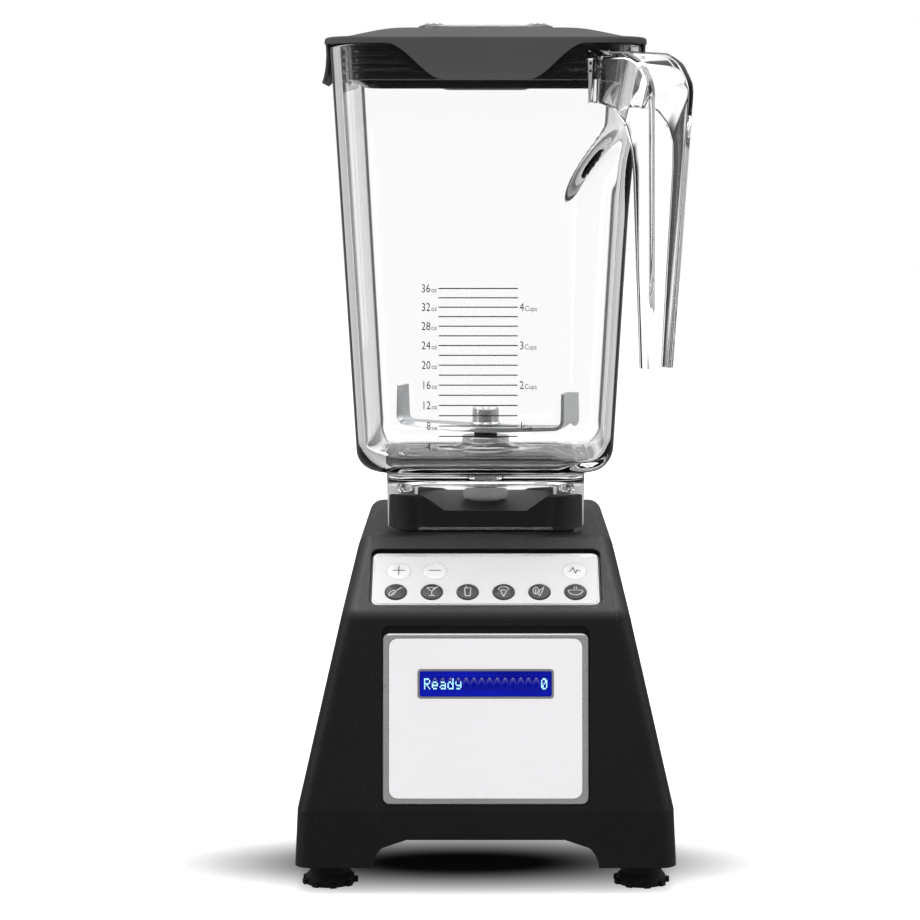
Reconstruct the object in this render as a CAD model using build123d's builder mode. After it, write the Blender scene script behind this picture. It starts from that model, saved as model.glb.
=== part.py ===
from build123d import *
import os
from math import atan2, cos, radians, sin, sqrt

# Countertop blender. Millimetres, +Z up, +X to the operator's right, the front faces -Y.
# The origin is on the drive axis, on the surface that the feet stand on.

# ---------- driving dimensions ----------
FOOT_H = 12.0            # the feet hold the housing this far up
BAND_TOP = 38.0          # top of the plain band round the foot of the housing
DECK_Z = 157.0           # flat top of the housing
DECK_FRONT = -53.0       # where the deck turns down into the key slope
RIDGE_Y, RIDGE_Z = -94.0, 127.5
FRONT_Y, BACK_Y = -108.0, 94.4
DECK_BACK = 76.0
BAND_HALF, BAND_HALF_LOW = 85.8, 87.1
DECK_HALF = 58.7
SHELL = 2.8              # housing wall
EDGE_R = 7.0             # round on the housing's long edges

SEAT_HALF, SEAT_R = 42.1, 9.0
SEAT_FLOOR, SEAT_TOP = 167.0, 174.4
SKIRT_HALF, SKIRT_LOW = 46.7, 158.2
JAR_WALL = 4.0
JAR_LOW, JAR_FLOOR, JAR_RIM = 181.0, 188.0, 384.0
JAR_HALF_LOW, JAR_HALF_RIM = 60.1, 71.5
JAR_R_LOW, JAR_R_RIM = 17.0, 20.0
FACET_LOW, FACET_HIGH = 68.6, 75.4     # drive axis to the fifth side, at the floor and at its top
FACET_TOP = 333.0
GRIP_OUT_TOP, GRIP_OUT_LOW = 118.5, 114.4
GRIP_LOW, GRIP_CORNER_Z = 237.5, 366.0
GRIP_HALF_LOW, GRIP_HALF_TOP = 8.2, 15.5      # half the grip's width at its foot and at its corner
GRIP_WALL = 3.0

LID_HALF, PLATEAU_HALF, PLATEAU_Z = 74.0, 41.0, 392.8
PLUG_HALF, PLUG_LOW = 64.6, 368.0
GAP = 0.3                # between pieces that move past each other

SHAFT_R, ARMATURE_R, BORE_R = 4.0, 23.0, 23.6
BLADE_Z, BLADE_T, BLADE_TIP = 201.0, 2.6, 44.6
BLADE_TURN = -20.0       # degrees, the rest angle of the blade
ROCKER_TILT = 6.0
SWITCH_X, SWITCH_UP = -48.0, 26.0      # on the back face, seen from behind
GLAND_X, GLAND_UP, CORD_R = 52.0, 20.0, 4.0


def flat_on(y_low, z_low, y_high, z_high, facing):
    """Plane on a face along X between two (Y, Z) points; facing is the sign of its normal's Y."""
    run, rise = y_high - y_low, z_high - z_low
    size = sqrt(run * run + rise * rise)
    normal = (0, facing * abs(rise) / size, abs(run) / size)
    return Plane(origin=(0, y_low, z_low), x_dir=(1, 0, 0) if facing < 0 else (-1, 0, 0), z_dir=normal)


# local +y runs up each face, and local z is its outward normal
front_face = flat_on(FRONT_Y, BAND_TOP, RIDGE_Y - 1.2, RIDGE_Z - 3.0, -1)
key_slope = flat_on(RIDGE_Y, RIDGE_Z, DECK_FRONT, DECK_Z, -1)
back_face = flat_on(BACK_Y, BAND_TOP, DECK_BACK, DECK_Z, 1)
SLOPE_LEN = sqrt((DECK_FRONT - RIDGE_Y) ** 2 + (DECK_Z - RIDGE_Z) ** 2)
corner_radial = Plane(origin=(0, 0, 0), x_dir=(1, -1, 0), z_dir=(-1, -1, 0))    # X outward, Y up

PANEL_W, PANEL_H = 93.4, 77.3           # display bezel
PANEL_MID = 3.5 + PANEL_H / 2
FACE_W, FACE_H, FACE_MID = 87.7, 72.4, PANEL_MID + 0.2
LCD_W, LCD_H, LCD_MID = 61.7, 13.2, 58.0
KEYS_W, KEYS_H = 105.8, 34.7            # control bezel
KEYS_MID = SLOPE_LEN - 11.5 - KEYS_H / 2
TOP_ROW, LOW_ROW = SLOPE_LEN - 24.3, SLOPE_LEN - 37.6
TOP_R, LOW_R = 5.45, 4.88
keys = {
    "speed_up_button": (-40.2, TOP_ROW, TOP_R),
    "speed_down_button": (-23.5, TOP_ROW, TOP_R),
    "pulse_button": (41.1, TOP_ROW, TOP_R),
    "batter_button": (-41.2, LOW_ROW, LOW_R),
    "crushed_ice_button": (-24.7, LOW_ROW, LOW_R),
    "smoothie_button": (-8.25, LOW_ROW, LOW_R),
    "ice_cream_button": (8.25, LOW_ROW, LOW_R),
    "whole_juice_button": (24.7, LOW_ROW, LOW_R),
    "hot_soup_button": (41.2, LOW_ROW, LOW_R),
}
key_places = [(x, y) for x, y, r in keys.values()]
foot_places = [(-72, -88), (72, -88), (-72, 75), (72, 75)]
boss_places = [(-74, -62), (74, -62), (-74, 52), (74, 52)]
mount_places = [(-38, -34), (38, -34), (-38, 34), (38, 34)]
tie_places = [(-34, -28), (34, -28), (-34, 28), (34, 28)]


def base_form(inset):
    """The base's outer form, every side moved in by inset: a side profile crossed with a front profile."""
    with BuildPart() as form:
        with BuildSketch(Plane.YZ):
            with BuildLine():
                Polyline(
                    (FRONT_Y - 0.6, FOOT_H), (FRONT_Y, BAND_TOP), (RIDGE_Y - 1.2, RIDGE_Z - 3.0),
                    (RIDGE_Y, RIDGE_Z), (DECK_FRONT, DECK_Z), (DECK_BACK, DECK_Z),
                    (BACK_Y, BAND_TOP), (BACK_Y + 0.6, FOOT_H), close=True,
                )
            make_face()
            if inset:
                offset(amount=-inset, kind=Kind.INTERSECTION)
        extrude(amount=BAND_HALF_LOW + 5, both=True)
        with BuildSketch(Plane.XZ):
            with BuildLine():
                Polyline(
                    (-BAND_HALF_LOW, FOOT_H), (-BAND_HALF, BAND_TOP), (-DECK_HALF, DECK_Z),
                    (DECK_HALF, DECK_Z), (BAND_HALF, BAND_TOP), (BAND_HALF_LOW, FOOT_H), close=True,
                )
            make_face()
            if inset:
                offset(amount=-inset, kind=Kind.INTERSECTION)
        extrude(amount=abs(FRONT_Y) + 10, both=True, mode=Mode.INTERSECT)
    return form


def jar_form(inset, low):
    """A drafted square with round corners and one flat corner, from low up to the rim, inset all round."""
    draft = (JAR_HALF_RIM - JAR_HALF_LOW) / (JAR_RIM - JAR_LOW)
    half_low = JAR_HALF_LOW + draft * (low - JAR_LOW) - inset
    with BuildPart() as form:
        with BuildSketch(Plane.XY.offset(low)):
            RectangleRounded(2 * half_low, 2 * half_low, JAR_R_LOW - inset)
        with BuildSketch(Plane.XY.offset(JAR_RIM)):
            rim_half = JAR_HALF_RIM - inset
            RectangleRounded(2 * rim_half, 2 * rim_half, JAR_R_RIM - inset)
        loft(ruled=True)
        fillet(form.faces().sort_by(Axis.Z)[0].edges(), 12.0 - inset)
        with BuildSketch(corner_radial):
            with BuildLine():
                top = FACET_TOP + inset
                Polyline(
                    (FACET_LOW - inset, JAR_LOW - 6), (FACET_LOW - inset, JAR_LOW),
                    (FACET_HIGH - inset, top - 16), (110, top + 8), (110, JAR_LOW - 6), close=True,
                )
            make_face()
        extrude(amount=60, both=True, mode=Mode.SUBTRACT)
    return form


def ring(part_plane, radius, hole, height):
    """Adds one plain ring to the piece in hand, drawn on a plane and extruded along its normal."""
    with BuildSketch(part_plane) as section:
        Circle(radius)
        Circle(hole, mode=Mode.SUBTRACT)
    extrude(section.sketch, amount=height)


# ---------- base: the shells ----------
base_solid = base_form(0)
with BuildPart() as base_outer:
    add(base_solid.part)
    fillet(base_outer.edges().filter_by(lambda e: e.center().Z > BAND_TOP + 1), EDGE_R)
    split(bisect_by=Plane.XY.offset(BAND_TOP), keep=Keep.TOP)
    # the band below it, with the same corner round
    for z, half, front, back in (
        (FOOT_H, BAND_HALF_LOW, FRONT_Y - 0.6, BACK_Y + 0.6),
        (BAND_TOP, BAND_HALF, FRONT_Y, BACK_Y),
    ):
        with BuildSketch(Plane.XY.offset(z)):
            with Locations((0, (front + back) / 2)):
                RectangleRounded(2 * half, back - front, EDGE_R)
    loft(ruled=True)
base_inner = base_form(SHELL)

with BuildPart() as housing:
    add(base_outer.part)
    add(base_inner.part, mode=Mode.SUBTRACT)
    with BuildSketch(Plane.XY.offset(FOOT_H - 1)):
        Rectangle(2 * (BAND_HALF_LOW - SHELL), 2 * 104.5)
    extrude(amount=SHELL + 2, mode=Mode.SUBTRACT)
    # screw bosses for the floor plate
    with BuildSketch(Plane.XY.offset(29.3)):
        with Locations(*boss_places):
            Circle(5.5)
    extrude(amount=31)
    with BuildSketch(Plane.XY.offset(29.3)):
        with Locations(*boss_places):
            Circle(1.6)
    extrude(amount=16, mode=Mode.SUBTRACT)
    # arch through the foot of the housing, front to back
    with BuildSketch(Plane.XZ):
        with BuildLine():
            Polyline((-51.5, FOOT_H - 1), (51.5, FOOT_H - 1), (51.5, FOOT_H))
            ThreePointArc((51.5, FOOT_H), (49.6, 18.3), (47, 21.3))
            Polyline((47, 21.3), (36, 25), (-36, 25), (-47, 21.3))
            ThreePointArc((-47, 21.3), (-49.6, 18.3), (-51.5, FOOT_H))
            Line((-51.5, FOOT_H), (-51.5, FOOT_H - 1))
        make_face()
    extrude(amount=130, both=True, mode=Mode.SUBTRACT)
    # key recess and its window
    with BuildSketch(key_slope.offset(-2.4)):
        with Locations((0, KEYS_MID + 0.8)):
            RectangleRounded(KEYS_W + 1.0, KEYS_H + 2.6, 4.0)
    extrude(amount=10, mode=Mode.SUBTRACT)
    with BuildSketch(key_slope.offset(-6)):
        with Locations(*key_places):
            Circle(3.2)
    extrude(amount=6, mode=Mode.SUBTRACT)
    # display recess and its window
    with BuildSketch(front_face.offset(-2.0)):
        with Locations((0, PANEL_MID + 1.5)):
            RectangleRounded(PANEL_W + 1.0, PANEL_H + 4.0, 3.4)
    extrude(amount=10, mode=Mode.SUBTRACT)
    with BuildSketch(front_face.offset(-6)):
        with Locations((0, LCD_MID)):
            Rectangle(LCD_W + 1, LCD_H + 1)
    extrude(amount=6, mode=Mode.SUBTRACT)
    # shaft hole and motor screws in the deck
    with BuildSketch(Plane.XY.offset(DECK_Z - 8)):
        Circle(13)
        with Locations(*mount_places):
            Circle(2.2)
    extrude(amount=10, mode=Mode.SUBTRACT)
    # power switch window, cord hole and air slots in the back
    with BuildSketch(back_face.offset(-8)):
        with Locations((SWITCH_X, SWITCH_UP)):
            Rectangle(13, 19)
        with Locations((GLAND_X, GLAND_UP)):
            Circle(7.2)
        with GridLocations(6.4, 0, 9, 1):
            with Locations((0, 60)):
                SlotOverall(26, 3.0, rotation=90)
    extrude(amount=14, mode=Mode.SUBTRACT)

with BuildPart() as base_plate:
    with BuildSketch(Plane.XY.offset(26)):
        with Locations((0, -6.6)):
            RectangleRounded(2 * 83.0, 2 * 97.6, 5)
    extrude(amount=3)
    with BuildSketch(Plane.XY.offset(FOOT_H)):
        with Locations(*foot_places):
            Circle(10)
    extrude(amount=14)
    with BuildSketch(Plane.XY.offset(FOOT_H)):
        with Locations(*foot_places):
            Circle(4.0)
    extrude(amount=10, mode=Mode.SUBTRACT)
    with BuildSketch(Plane.XY.offset(25)):
        with Locations(*boss_places):
            Circle(1.9)
        with PolarLocations(24, 16):
            SlotOverall(22, 4)
    extrude(amount=5, mode=Mode.SUBTRACT)

with BuildPart() as base_screws:
    for x, y in boss_places:
        ring(Plane((x, y, 23.8)), 3.6, 1.0, 2.2)
        with BuildSketch(Plane((x, y, 24.8))):
            Circle(1.55)
        extrude(amount=18)

with BuildPart() as feet:
    for x, y in foot_places:
        with BuildSketch(Plane(origin=(x, y, 0), x_dir=(1, 0, 0), z_dir=(0, -1, 0))):
            with BuildLine():
                Polyline((0, 1.6), (8.6, 0), (11.6, 0), (11.2, 3.2), (9.4, 5.4), (9.4, FOOT_H))
                Polyline((9.4, FOOT_H), (3.9, FOOT_H), (3.9, 20.5), (0, 20.5), (0, 1.6))
            make_face()
        revolve(axis=Axis((x, y, 0), (0, 0, 1)))
    # lifting tabs round each cup
    with Locations(*[(x, y, 1.1) for x, y in foot_places]):
        with PolarLocations(11.6, 9):
            Box(2.6, 3.0, 2.2)

# ---------- base: jar seat ----------
with BuildPart() as jar_seat:
    with BuildSketch(Plane.XY.offset(DECK_Z)):
        RectangleRounded(2 * SEAT_HALF, 2 * SEAT_HALF, SEAT_R)
    extrude(amount=SEAT_TOP - DECK_Z)
    fillet(jar_seat.faces().sort_by(Axis.Z)[-1].edges(), 1.4)
    # the middle is sunk between four corner posts with leaning inner faces
    with BuildSketch(Plane.XY.offset(SEAT_FLOOR)):
        Rectangle(61.5 * sqrt(2), 61.5 * sqrt(2), rotation=45)
    with BuildSketch(Plane.XY.offset(SEAT_TOP + 0.02)):
        Rectangle(72 * sqrt(2), 72 * sqrt(2), rotation=45)
    loft(ruled=True, mode=Mode.SUBTRACT)
    with BuildSketch(Plane.XY.offset(DECK_Z)):
        Circle(12)
    extrude(amount=20, mode=Mode.SUBTRACT)
    with BuildSketch(Plane.XY.offset(DECK_Z)):
        with Locations(*mount_places):
            Circle(2.0)
    extrude(amount=6, mode=Mode.SUBTRACT)

with BuildPart() as socket_seal:
    ring(Plane.XY.offset(160.5), 11.95, 8.0, 6.5)
    fillet(socket_seal.edges().sort_by(Axis.Z)[-1], 1.0)

# ---------- base: key panel ----------
with BuildPart() as control_bezel:
    with BuildSketch(key_slope.offset(-2.4)):
        with Locations((0, KEYS_MID)):
            RectangleRounded(KEYS_W, KEYS_H, 3.6)
    extrude(amount=1.9)
    chamfer(control_bezel.faces().sort_by(Axis((0, 0, 0), key_slope.z_dir))[-1].edges(), 0.8)
    with BuildSketch(key_slope.offset(-1.4)):
        with Locations((0, KEYS_MID - 0.8)):
            RectangleRounded(KEYS_W - 2.6, KEYS_H - 4.2, 3.0)
    extrude(amount=2, mode=Mode.SUBTRACT)
    with BuildSketch(key_slope.offset(-4)):
        for x, y, r in keys.values():
            with Locations((x, y)):
                Circle(r + 0.35)
    extrude(amount=4, mode=Mode.SUBTRACT)

with BuildPart() as keypad_overlay:
    with BuildSketch(key_slope.offset(-1.4)):
        with Locations((0, KEYS_MID - 0.8)):
            RectangleRounded(KEYS_W - 2.8, KEYS_H - 4.4, 2.9)
        for x, y, r in keys.values():
            with Locations((x, y)):
                Circle(r + 0.35, mode=Mode.SUBTRACT)
    extrude(amount=1.1)

with BuildPart() as keypad_board:
    with BuildSketch(key_slope.offset(-9.0)):
        with Locations((0, KEYS_MID)):
            Rectangle(92, 24)
    extrude(amount=1.6)

with BuildPart() as key_switches:
    for x, y in key_places:
        with BuildSketch(key_slope.offset(-7.4)):
            with Locations((x, y)):
                Rectangle(6, 6)
        extrude(amount=1.4)
        with BuildSketch(key_slope.offset(-6.2)):
            with Locations((x, y)):
                Circle(1.7)
        extrude(amount=1.0)

buttons = {}
for name, (x, y, r) in keys.items():
    key_middle = key_slope.from_local_coords(Vector(x, y, 0))
    key_plane = Plane(origin=key_middle, x_dir=(1, 0, 0), z_dir=key_slope.z_dir)
    with BuildPart() as button:
        with BuildSketch(key_plane.offset(-1.9)):
            Circle(r)
        extrude(amount=2.3)
        crown = button.faces().sort_by(Axis(key_plane.origin, key_plane.z_dir))[-1]
        fillet(crown.edges(), 0.7)
        with BuildSketch(key_plane.offset(-4.4)):
            Circle(2.4)
        extrude(amount=2.6)
    buttons[name] = button

# ---------- base: display panel ----------
with BuildPart() as display_bezel:
    with BuildSketch(front_face.offset(-2.0)):
        with Locations((0, PANEL_MID)):
            RectangleRounded(PANEL_W, PANEL_H, 3.0)
    extrude(amount=2.2)
    chamfer(display_bezel.faces().sort_by(Axis((0, 0, 0), front_face.z_dir))[-1].edges(), 0.7)
    with BuildSketch(front_face.offset(-0.9)):
        with Locations((0, FACE_MID)):
            RectangleRounded(FACE_W + 0.2, FACE_H + 0.2, 4.1)
    extrude(amount=3, mode=Mode.SUBTRACT)
    with BuildSketch(front_face.offset(-4)):
        with Locations((0, LCD_MID)):
            RectangleRounded(LCD_W + 0.2, LCD_H + 0.2, 1.5)
    extrude(amount=4, mode=Mode.SUBTRACT)

with BuildPart() as display_panel:
    with BuildSketch(front_face.offset(-0.9)):
        with Locations((0, FACE_MID)):
            RectangleRounded(FACE_W, FACE_H, 4.0)
        with Locations((0, LCD_MID)):
            RectangleRounded(LCD_W + 0.2, LCD_H + 0.2, 1.5, mode=Mode.SUBTRACT)
    extrude(amount=1.5)

with BuildPart() as lcd_frame:
    with BuildSketch(front_face.offset(-2.0)):
        with Locations((0, LCD_MID)):
            RectangleRounded(LCD_W, LCD_H, 1.4)
            RectangleRounded(LCD_W - 1.6, LCD_H - 1.6, 0.9, mode=Mode.SUBTRACT)
    extrude(amount=2.75)

with BuildPart() as lcd_window:
    with BuildSketch(front_face.offset(-1.6)):
        with Locations((0, LCD_MID)):
            RectangleRounded(LCD_W - 1.8, LCD_H - 1.8, 0.8)
    extrude(amount=1.9)

with BuildPart() as lcd_module:
    with BuildSketch(front_face.offset(-9.0)):
        with Locations((0, LCD_MID)):
            Rectangle(80, 34)
    extrude(amount=1.6)
    with BuildSketch(front_face.offset(-7.4)):
        with Locations((0, LCD_MID)):
            Rectangle(LCD_W - 2, LCD_H - 2)
    extrude(amount=5.6)

# ---------- base: power side ----------
with BuildPart() as control_board:
    with BuildSketch(Plane.XZ.offset(-64)):
        with Locations((0, 78)):
            Rectangle(96, 62)
    extrude(amount=1.6)
    with Locations((-34, 58, 62), (-34, 58, 84)):
        Cylinder(7, 9, rotation=(90, 0, 0))
    with Locations((-12, 57.5, 66), (4, 57.5, 66)):
        Box(11, 10, 16)

with BuildPart() as heat_sink:
    with Locations((34, 61, 78)):
        Box(30, 2.8, 46)
    with GridLocations(4.4, 0, 7, 1):
        with Locations((34, 53.2, 78)):
            Box(1.4, 13, 46)

with BuildPart() as switch_frame:
    with BuildSketch(back_face):
        with Locations((SWITCH_X, SWITCH_UP)):
            Rectangle(15.4, 21.4)
    extrude(amount=1.6)
    with BuildSketch(back_face.offset(-12)):
        with Locations((SWITCH_X, SWITCH_UP)):
            Rectangle(12.8, 18.8)
    extrude(amount=12)
    with BuildSketch(back_face.offset(-8)):
        with Locations((SWITCH_X, SWITCH_UP)):
            Rectangle(11, 17)
    extrude(amount=12, mode=Mode.SUBTRACT)

# the rocker rests with its lower end pressed in, and swings twice ROCKER_TILT to the other side
rocker_lean = atan2(BACK_Y - DECK_BACK, DECK_Z - BAND_TOP) - radians(ROCKER_TILT)
rocker_section = Plane(
    origin=back_face.from_local_coords(Vector(SWITCH_X, SWITCH_UP, -3.6)),
    x_dir=(0, -sin(rocker_lean), cos(rocker_lean)), z_dir=(-1, 0, 0),
)
with BuildPart() as power_rocker:
    with BuildSketch(rocker_section):
        with BuildLine():
            Polyline((0, 5.6), (7.2, 6.8), (6.8, 2.2), (2.4, -2.4))
            Polyline((2.4, -2.4), (-2.4, -2.4), (-6.8, 2.2), (-7.2, 6.8), (0, 5.6))
        make_face()
    extrude(amount=5.1, both=True)

gland_middle = back_face.from_local_coords(Vector(GLAND_X, GLAND_UP, 0))
with BuildPart() as cord_gland:
    gland_plane = Plane(origin=gland_middle, z_dir=back_face.z_dir)
    ring(gland_plane, 10.5, CORD_R, 3.0)
    ring(gland_plane.offset(-4.4), 7.1, CORD_R, 4.4)
    ring(gland_plane.offset(-7.2), 9.0, CORD_R, 2.8)
    ring(gland_plane.offset(3.0), 7.4, CORD_R, 4.0)
    chamfer(cord_gland.faces().sort_by(Axis((0, 0, 0), back_face.z_dir))[-1].edges()
            .sort_by(SortBy.RADIUS)[-1], 1.2)

# ---------- base: motor, standing parts ----------
with BuildPart() as stator_core:
    with BuildSketch(Plane.XY.offset(74)):
        RectangleRounded(84, 72, 12)
        Circle(31.8, mode=Mode.SUBTRACT)
        with Locations(*tie_places):
            Circle(2.1, mode=Mode.SUBTRACT)
    extrude(amount=38)
    with BuildSketch(Plane.XY.offset(74)):
        Circle(31.9)
        with BuildLine():
            Polyline((0, 0), (34, 24), (34, -24), close=True)
        make_face(mode=Mode.INTERSECT)
        mirror(about=Plane.YZ)
        Circle(BORE_R, mode=Mode.SUBTRACT)
    extrude(amount=38)

with BuildPart() as field_coils:
    with BuildSketch(Plane.XY.offset(66)):
        Circle(31.2)
        Circle(24.4, mode=Mode.SUBTRACT)
        with Locations((-20, 0)):
            Rectangle(44, 80, mode=Mode.SUBTRACT)
    extrude(amount=54)
    with BuildSketch(Plane.XY.offset(73.5)):
        with BuildLine():
            Polyline((0, 0), (40, 31), (40, -31), close=True)
        make_face()
    extrude(amount=39, mode=Mode.SUBTRACT)
    mirror(about=Plane.YZ)

with BuildPart() as upper_bracket:
    with BuildSketch(Plane.XY.offset(140)):
        RectangleRounded(92, 84, 9)
        Circle(11.0, mode=Mode.SUBTRACT)
        with Locations(*mount_places):
            Circle(2.2, mode=Mode.SUBTRACT)
        with PolarLocations(25, 8, start_angle=22.5):
            Circle(6.0, mode=Mode.SUBTRACT)
    extrude(amount=4)
    ring(Plane.XY.offset(140), 15, 11.0, 8)

with BuildPart() as lower_bracket:
    with BuildSketch(Plane.XY.offset(38)):
        RectangleRounded(84, 72, 9)
        Circle(11.0, mode=Mode.SUBTRACT)
        with Locations(*tie_places):
            Circle(2.1, mode=Mode.SUBTRACT)
        with PolarLocations(24, 6, start_angle=30):
            Circle(7.5, mode=Mode.SUBTRACT)
    extrude(amount=4)
    ring(Plane.XY.offset(36), 15, 11.0, 9)

with BuildPart() as motor_bearings:
    for low in (37.0, 140.5):
        ring(Plane.XY.offset(low), 11.0, SHAFT_R + 0.03, 7)
    # shield grooves
    for low in (37.0, 43.6, 140.5, 147.1):
        with BuildSketch(Plane.XY.offset(low)):
            Circle(9)
            Circle(6.2, mode=Mode.SUBTRACT)
        extrude(amount=0.4, mode=Mode.SUBTRACT)

with BuildPart() as motor_tie_bolts:
    for x, y in tie_places:
        with BuildSketch(Plane((x, y, 35))):
            RegularPolygon(3.6, 6)
        extrude(amount=3)
        with BuildSketch(Plane((x, y, 37.5))):
            Circle(2.0)
        extrude(amount=79)
        with BuildSketch(Plane((x, y, 112))):
            RegularPolygon(3.6, 6)
        extrude(amount=3)

with BuildPart() as motor_spacers:
    for x, y in tie_places:
        ring(Plane((x, y, 42)), 4.0, 2.1, 32)

with BuildPart() as motor_mounts:
    for x, y in mount_places:
        ring(Plane((x, y, 144)), 6.5, 2.2, 10.2)

with BuildPart() as motor_screws:
    for x, y in mount_places:
        ring(Plane((x, y, 136.8)), 4.0, 1.2, 3.2)
        with BuildSketch(Plane((x, y, 138))):
            Circle(1.95)
        extrude(amount=24.5)

with BuildPart() as motor_frame:
    # four legs tie the stator to the upper bracket
    for x, y in ((-39, 0), (39, 0)):
        with Locations((x, y, 126)):
            Box(4, 22, 28)
    for y in (-34, 34):
        with Locations((0, y, 126)):
            Box(22, 4, 28)

with BuildPart() as brush_holders:
    for side in (-1, 1):
        with Locations((side * 27, 0, 57)):
            Box(20, 12, 12)
            Box(24, 7.2, 8.2, mode=Mode.SUBTRACT)
        with Locations((side * 27, 0, 46.5)):
            Box(14, 10, 9)

with BuildPart() as carbon_brushes:
    for side in (-1, 1):
        with Locations((side * 22.3, 0, 57)):
            Box(14, 7, 8)
        with Locations((0, 0, 57)):
            Cylinder(15.3, 12, mode=Mode.SUBTRACT)

with BuildPart() as brush_springs:
    for side in (-1, 1):
        coil = Helix(pitch=1.5, height=7.0, radius=2.6, center=(side * 29.6, 0, 57),
                     direction=(side, 0, 0))
        with BuildSketch(Plane(origin=coil @ 0, z_dir=coil % 0)):
            Circle(0.3)
        sweep(path=coil, is_frenet=True)

# ---------- rotor ----------
with BuildPart() as motor_shaft:
    with BuildSketch(Plane.XY.offset(33)):
        Circle(SHAFT_R)
    extrude(amount=133)
    chamfer(motor_shaft.edges(), 0.5)

with BuildPart() as armature_core:
    ring(Plane.XY.offset(74), ARMATURE_R, SHAFT_R, 38)
    with BuildSketch(Plane.XY.offset(74)):
        with PolarLocations(ARMATURE_R - 1, 16):
            Rectangle(8, 1.6)
    extrude(amount=38, mode=Mode.SUBTRACT)

with BuildPart() as armature_windings:
    for low in (64.5, 112):
        ring(Plane.XY.offset(low), 20.0, SHAFT_R, 9.5)
    fillet(armature_windings.edges().filter_by(GeomType.CIRCLE).filter_by(lambda e: e.radius > 10), 3.0)

with BuildPart() as commutator:
    ring(Plane.XY.offset(50), 15.0, SHAFT_R, 14.5)
    with BuildSketch(Plane.XY.offset(50)):
        with PolarLocations(14.8, 24):
            Rectangle(1.6, 0.5)
    extrude(amount=14.5, mode=Mode.SUBTRACT)

with BuildPart() as cooling_fan:
    ring(Plane.XY.offset(124), 30, SHAFT_R, 2)
    ring(Plane.XY.offset(124), 8, SHAFT_R, 11)
    with Locations((0, 0, 129.5)):
        with PolarLocations(19, 11, start_angle=0):
            Box(22, 1.6, 9, rotation=(0, 0, 24))

with BuildPart() as drive_socket:
    with BuildSketch(Plane.XZ):
        with BuildLine():
            Polyline((0, 158), (7.2, 158), (7.2, 167.5), (10.4, 167.5))
            ThreePointArc((10.4, 167.5), (11.15, 169.6), (10.4, 171.8))
            Polyline((10.4, 171.8), (9.0, 174.0), (7.6, 174.5), (0, 174.5), (0, 158))
        make_face()
    revolve(axis=Axis.Z)
    with BuildSketch(Plane.XY.offset(168.4)):
        Circle(5.4)
        with PolarLocations(5.4, 12):
            Rectangle(0.9, 1.5)
    extrude(amount=8, mode=Mode.SUBTRACT)
    with BuildSketch(Plane.XY.offset(156)):
        Circle(SHAFT_R)
    extrude(amount=10, mode=Mode.SUBTRACT)

# ---------- jar ----------
jar_outer = jar_form(0, JAR_LOW)
jar_inner = jar_form(JAR_WALL, JAR_FLOOR)

with BuildPart() as jar_body:
    add(jar_outer.part)
    with BuildSketch(Plane.XY.offset(SKIRT_LOW)):
        RectangleRounded(2 * SKIRT_HALF, 2 * SKIRT_HALF, SEAT_R + 4.4)
    extrude(amount=JAR_FLOOR - 2 - SKIRT_LOW)
    with BuildSketch(Plane.XY.offset(SKIRT_LOW)):
        RectangleRounded(2 * SKIRT_HALF - 8, 2 * SKIRT_HALF - 8, SEAT_R + 0.4)
    extrude(amount=JAR_LOW - SKIRT_LOW, mode=Mode.SUBTRACT)
    add(jar_inner.part, mode=Mode.SUBTRACT)
    with BuildSketch(Plane.XY.offset(JAR_LOW - 1)):
        Circle(9.05)
    extrude(amount=12, mode=Mode.SUBTRACT)



def grip_form(outline, thinner):
    """A side outline as wide as the grip, less thinner on each side: the grip narrows towards its foot."""
    low, top = GRIP_HALF_LOW - thinner, GRIP_HALF_TOP - thinner
    with BuildPart() as form:
        with BuildSketch(corner_radial):
            add(outline)
        extrude(amount=GRIP_HALF_TOP, both=True)
        with BuildSketch(Plane(origin=(0, 0, 0), x_dir=(1, 1, 0), z_dir=(1, -1, 0))):
            with BuildLine():
                Polyline((-low, GRIP_LOW), (-top, GRIP_CORNER_Z), (-top, 390), (top, 390),
                         (top, GRIP_CORNER_Z), (low, GRIP_LOW), (low, GRIP_LOW - 4),
                         (-low, GRIP_LOW - 4), close=True)
            make_face()
        extrude(amount=200, mode=Mode.INTERSECT)
    return form


with BuildSketch() as grip_outline:
    with BuildLine():
        Polyline((80, 381.5), (104, 380.0), (113, 375.0), (GRIP_OUT_TOP, GRIP_CORNER_Z),
                 (GRIP_OUT_LOW, GRIP_LOW), (106.0, GRIP_LOW), (107.4, 332))
        ThreePointArc((107.4, 332), (103.0, 350), (90, 357))
        Polyline((90, 357), (80, 357), (80, 381.5))
    make_face()
with BuildSketch() as channel_outline:
    with BuildLine():
        Polyline((80, 378.5), (103.4, 377.0), (111.4, 372.6), (GRIP_OUT_TOP - 3.2, 364.6),
                 (GRIP_OUT_LOW - 3.1, GRIP_LOW - 2), (90, GRIP_LOW - 2), (80, 300), close=True)
    make_face()
# the channel opens towards the jar and below
grip_channel = grip_form(channel_outline.sketch, GRIP_WALL)
with BuildPart() as jar_handle:
    add(grip_form(grip_outline.sketch, 0).part)
    add(grip_channel.part, mode=Mode.SUBTRACT)
    add(jar_outer.part, mode=Mode.SUBTRACT)

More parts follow.
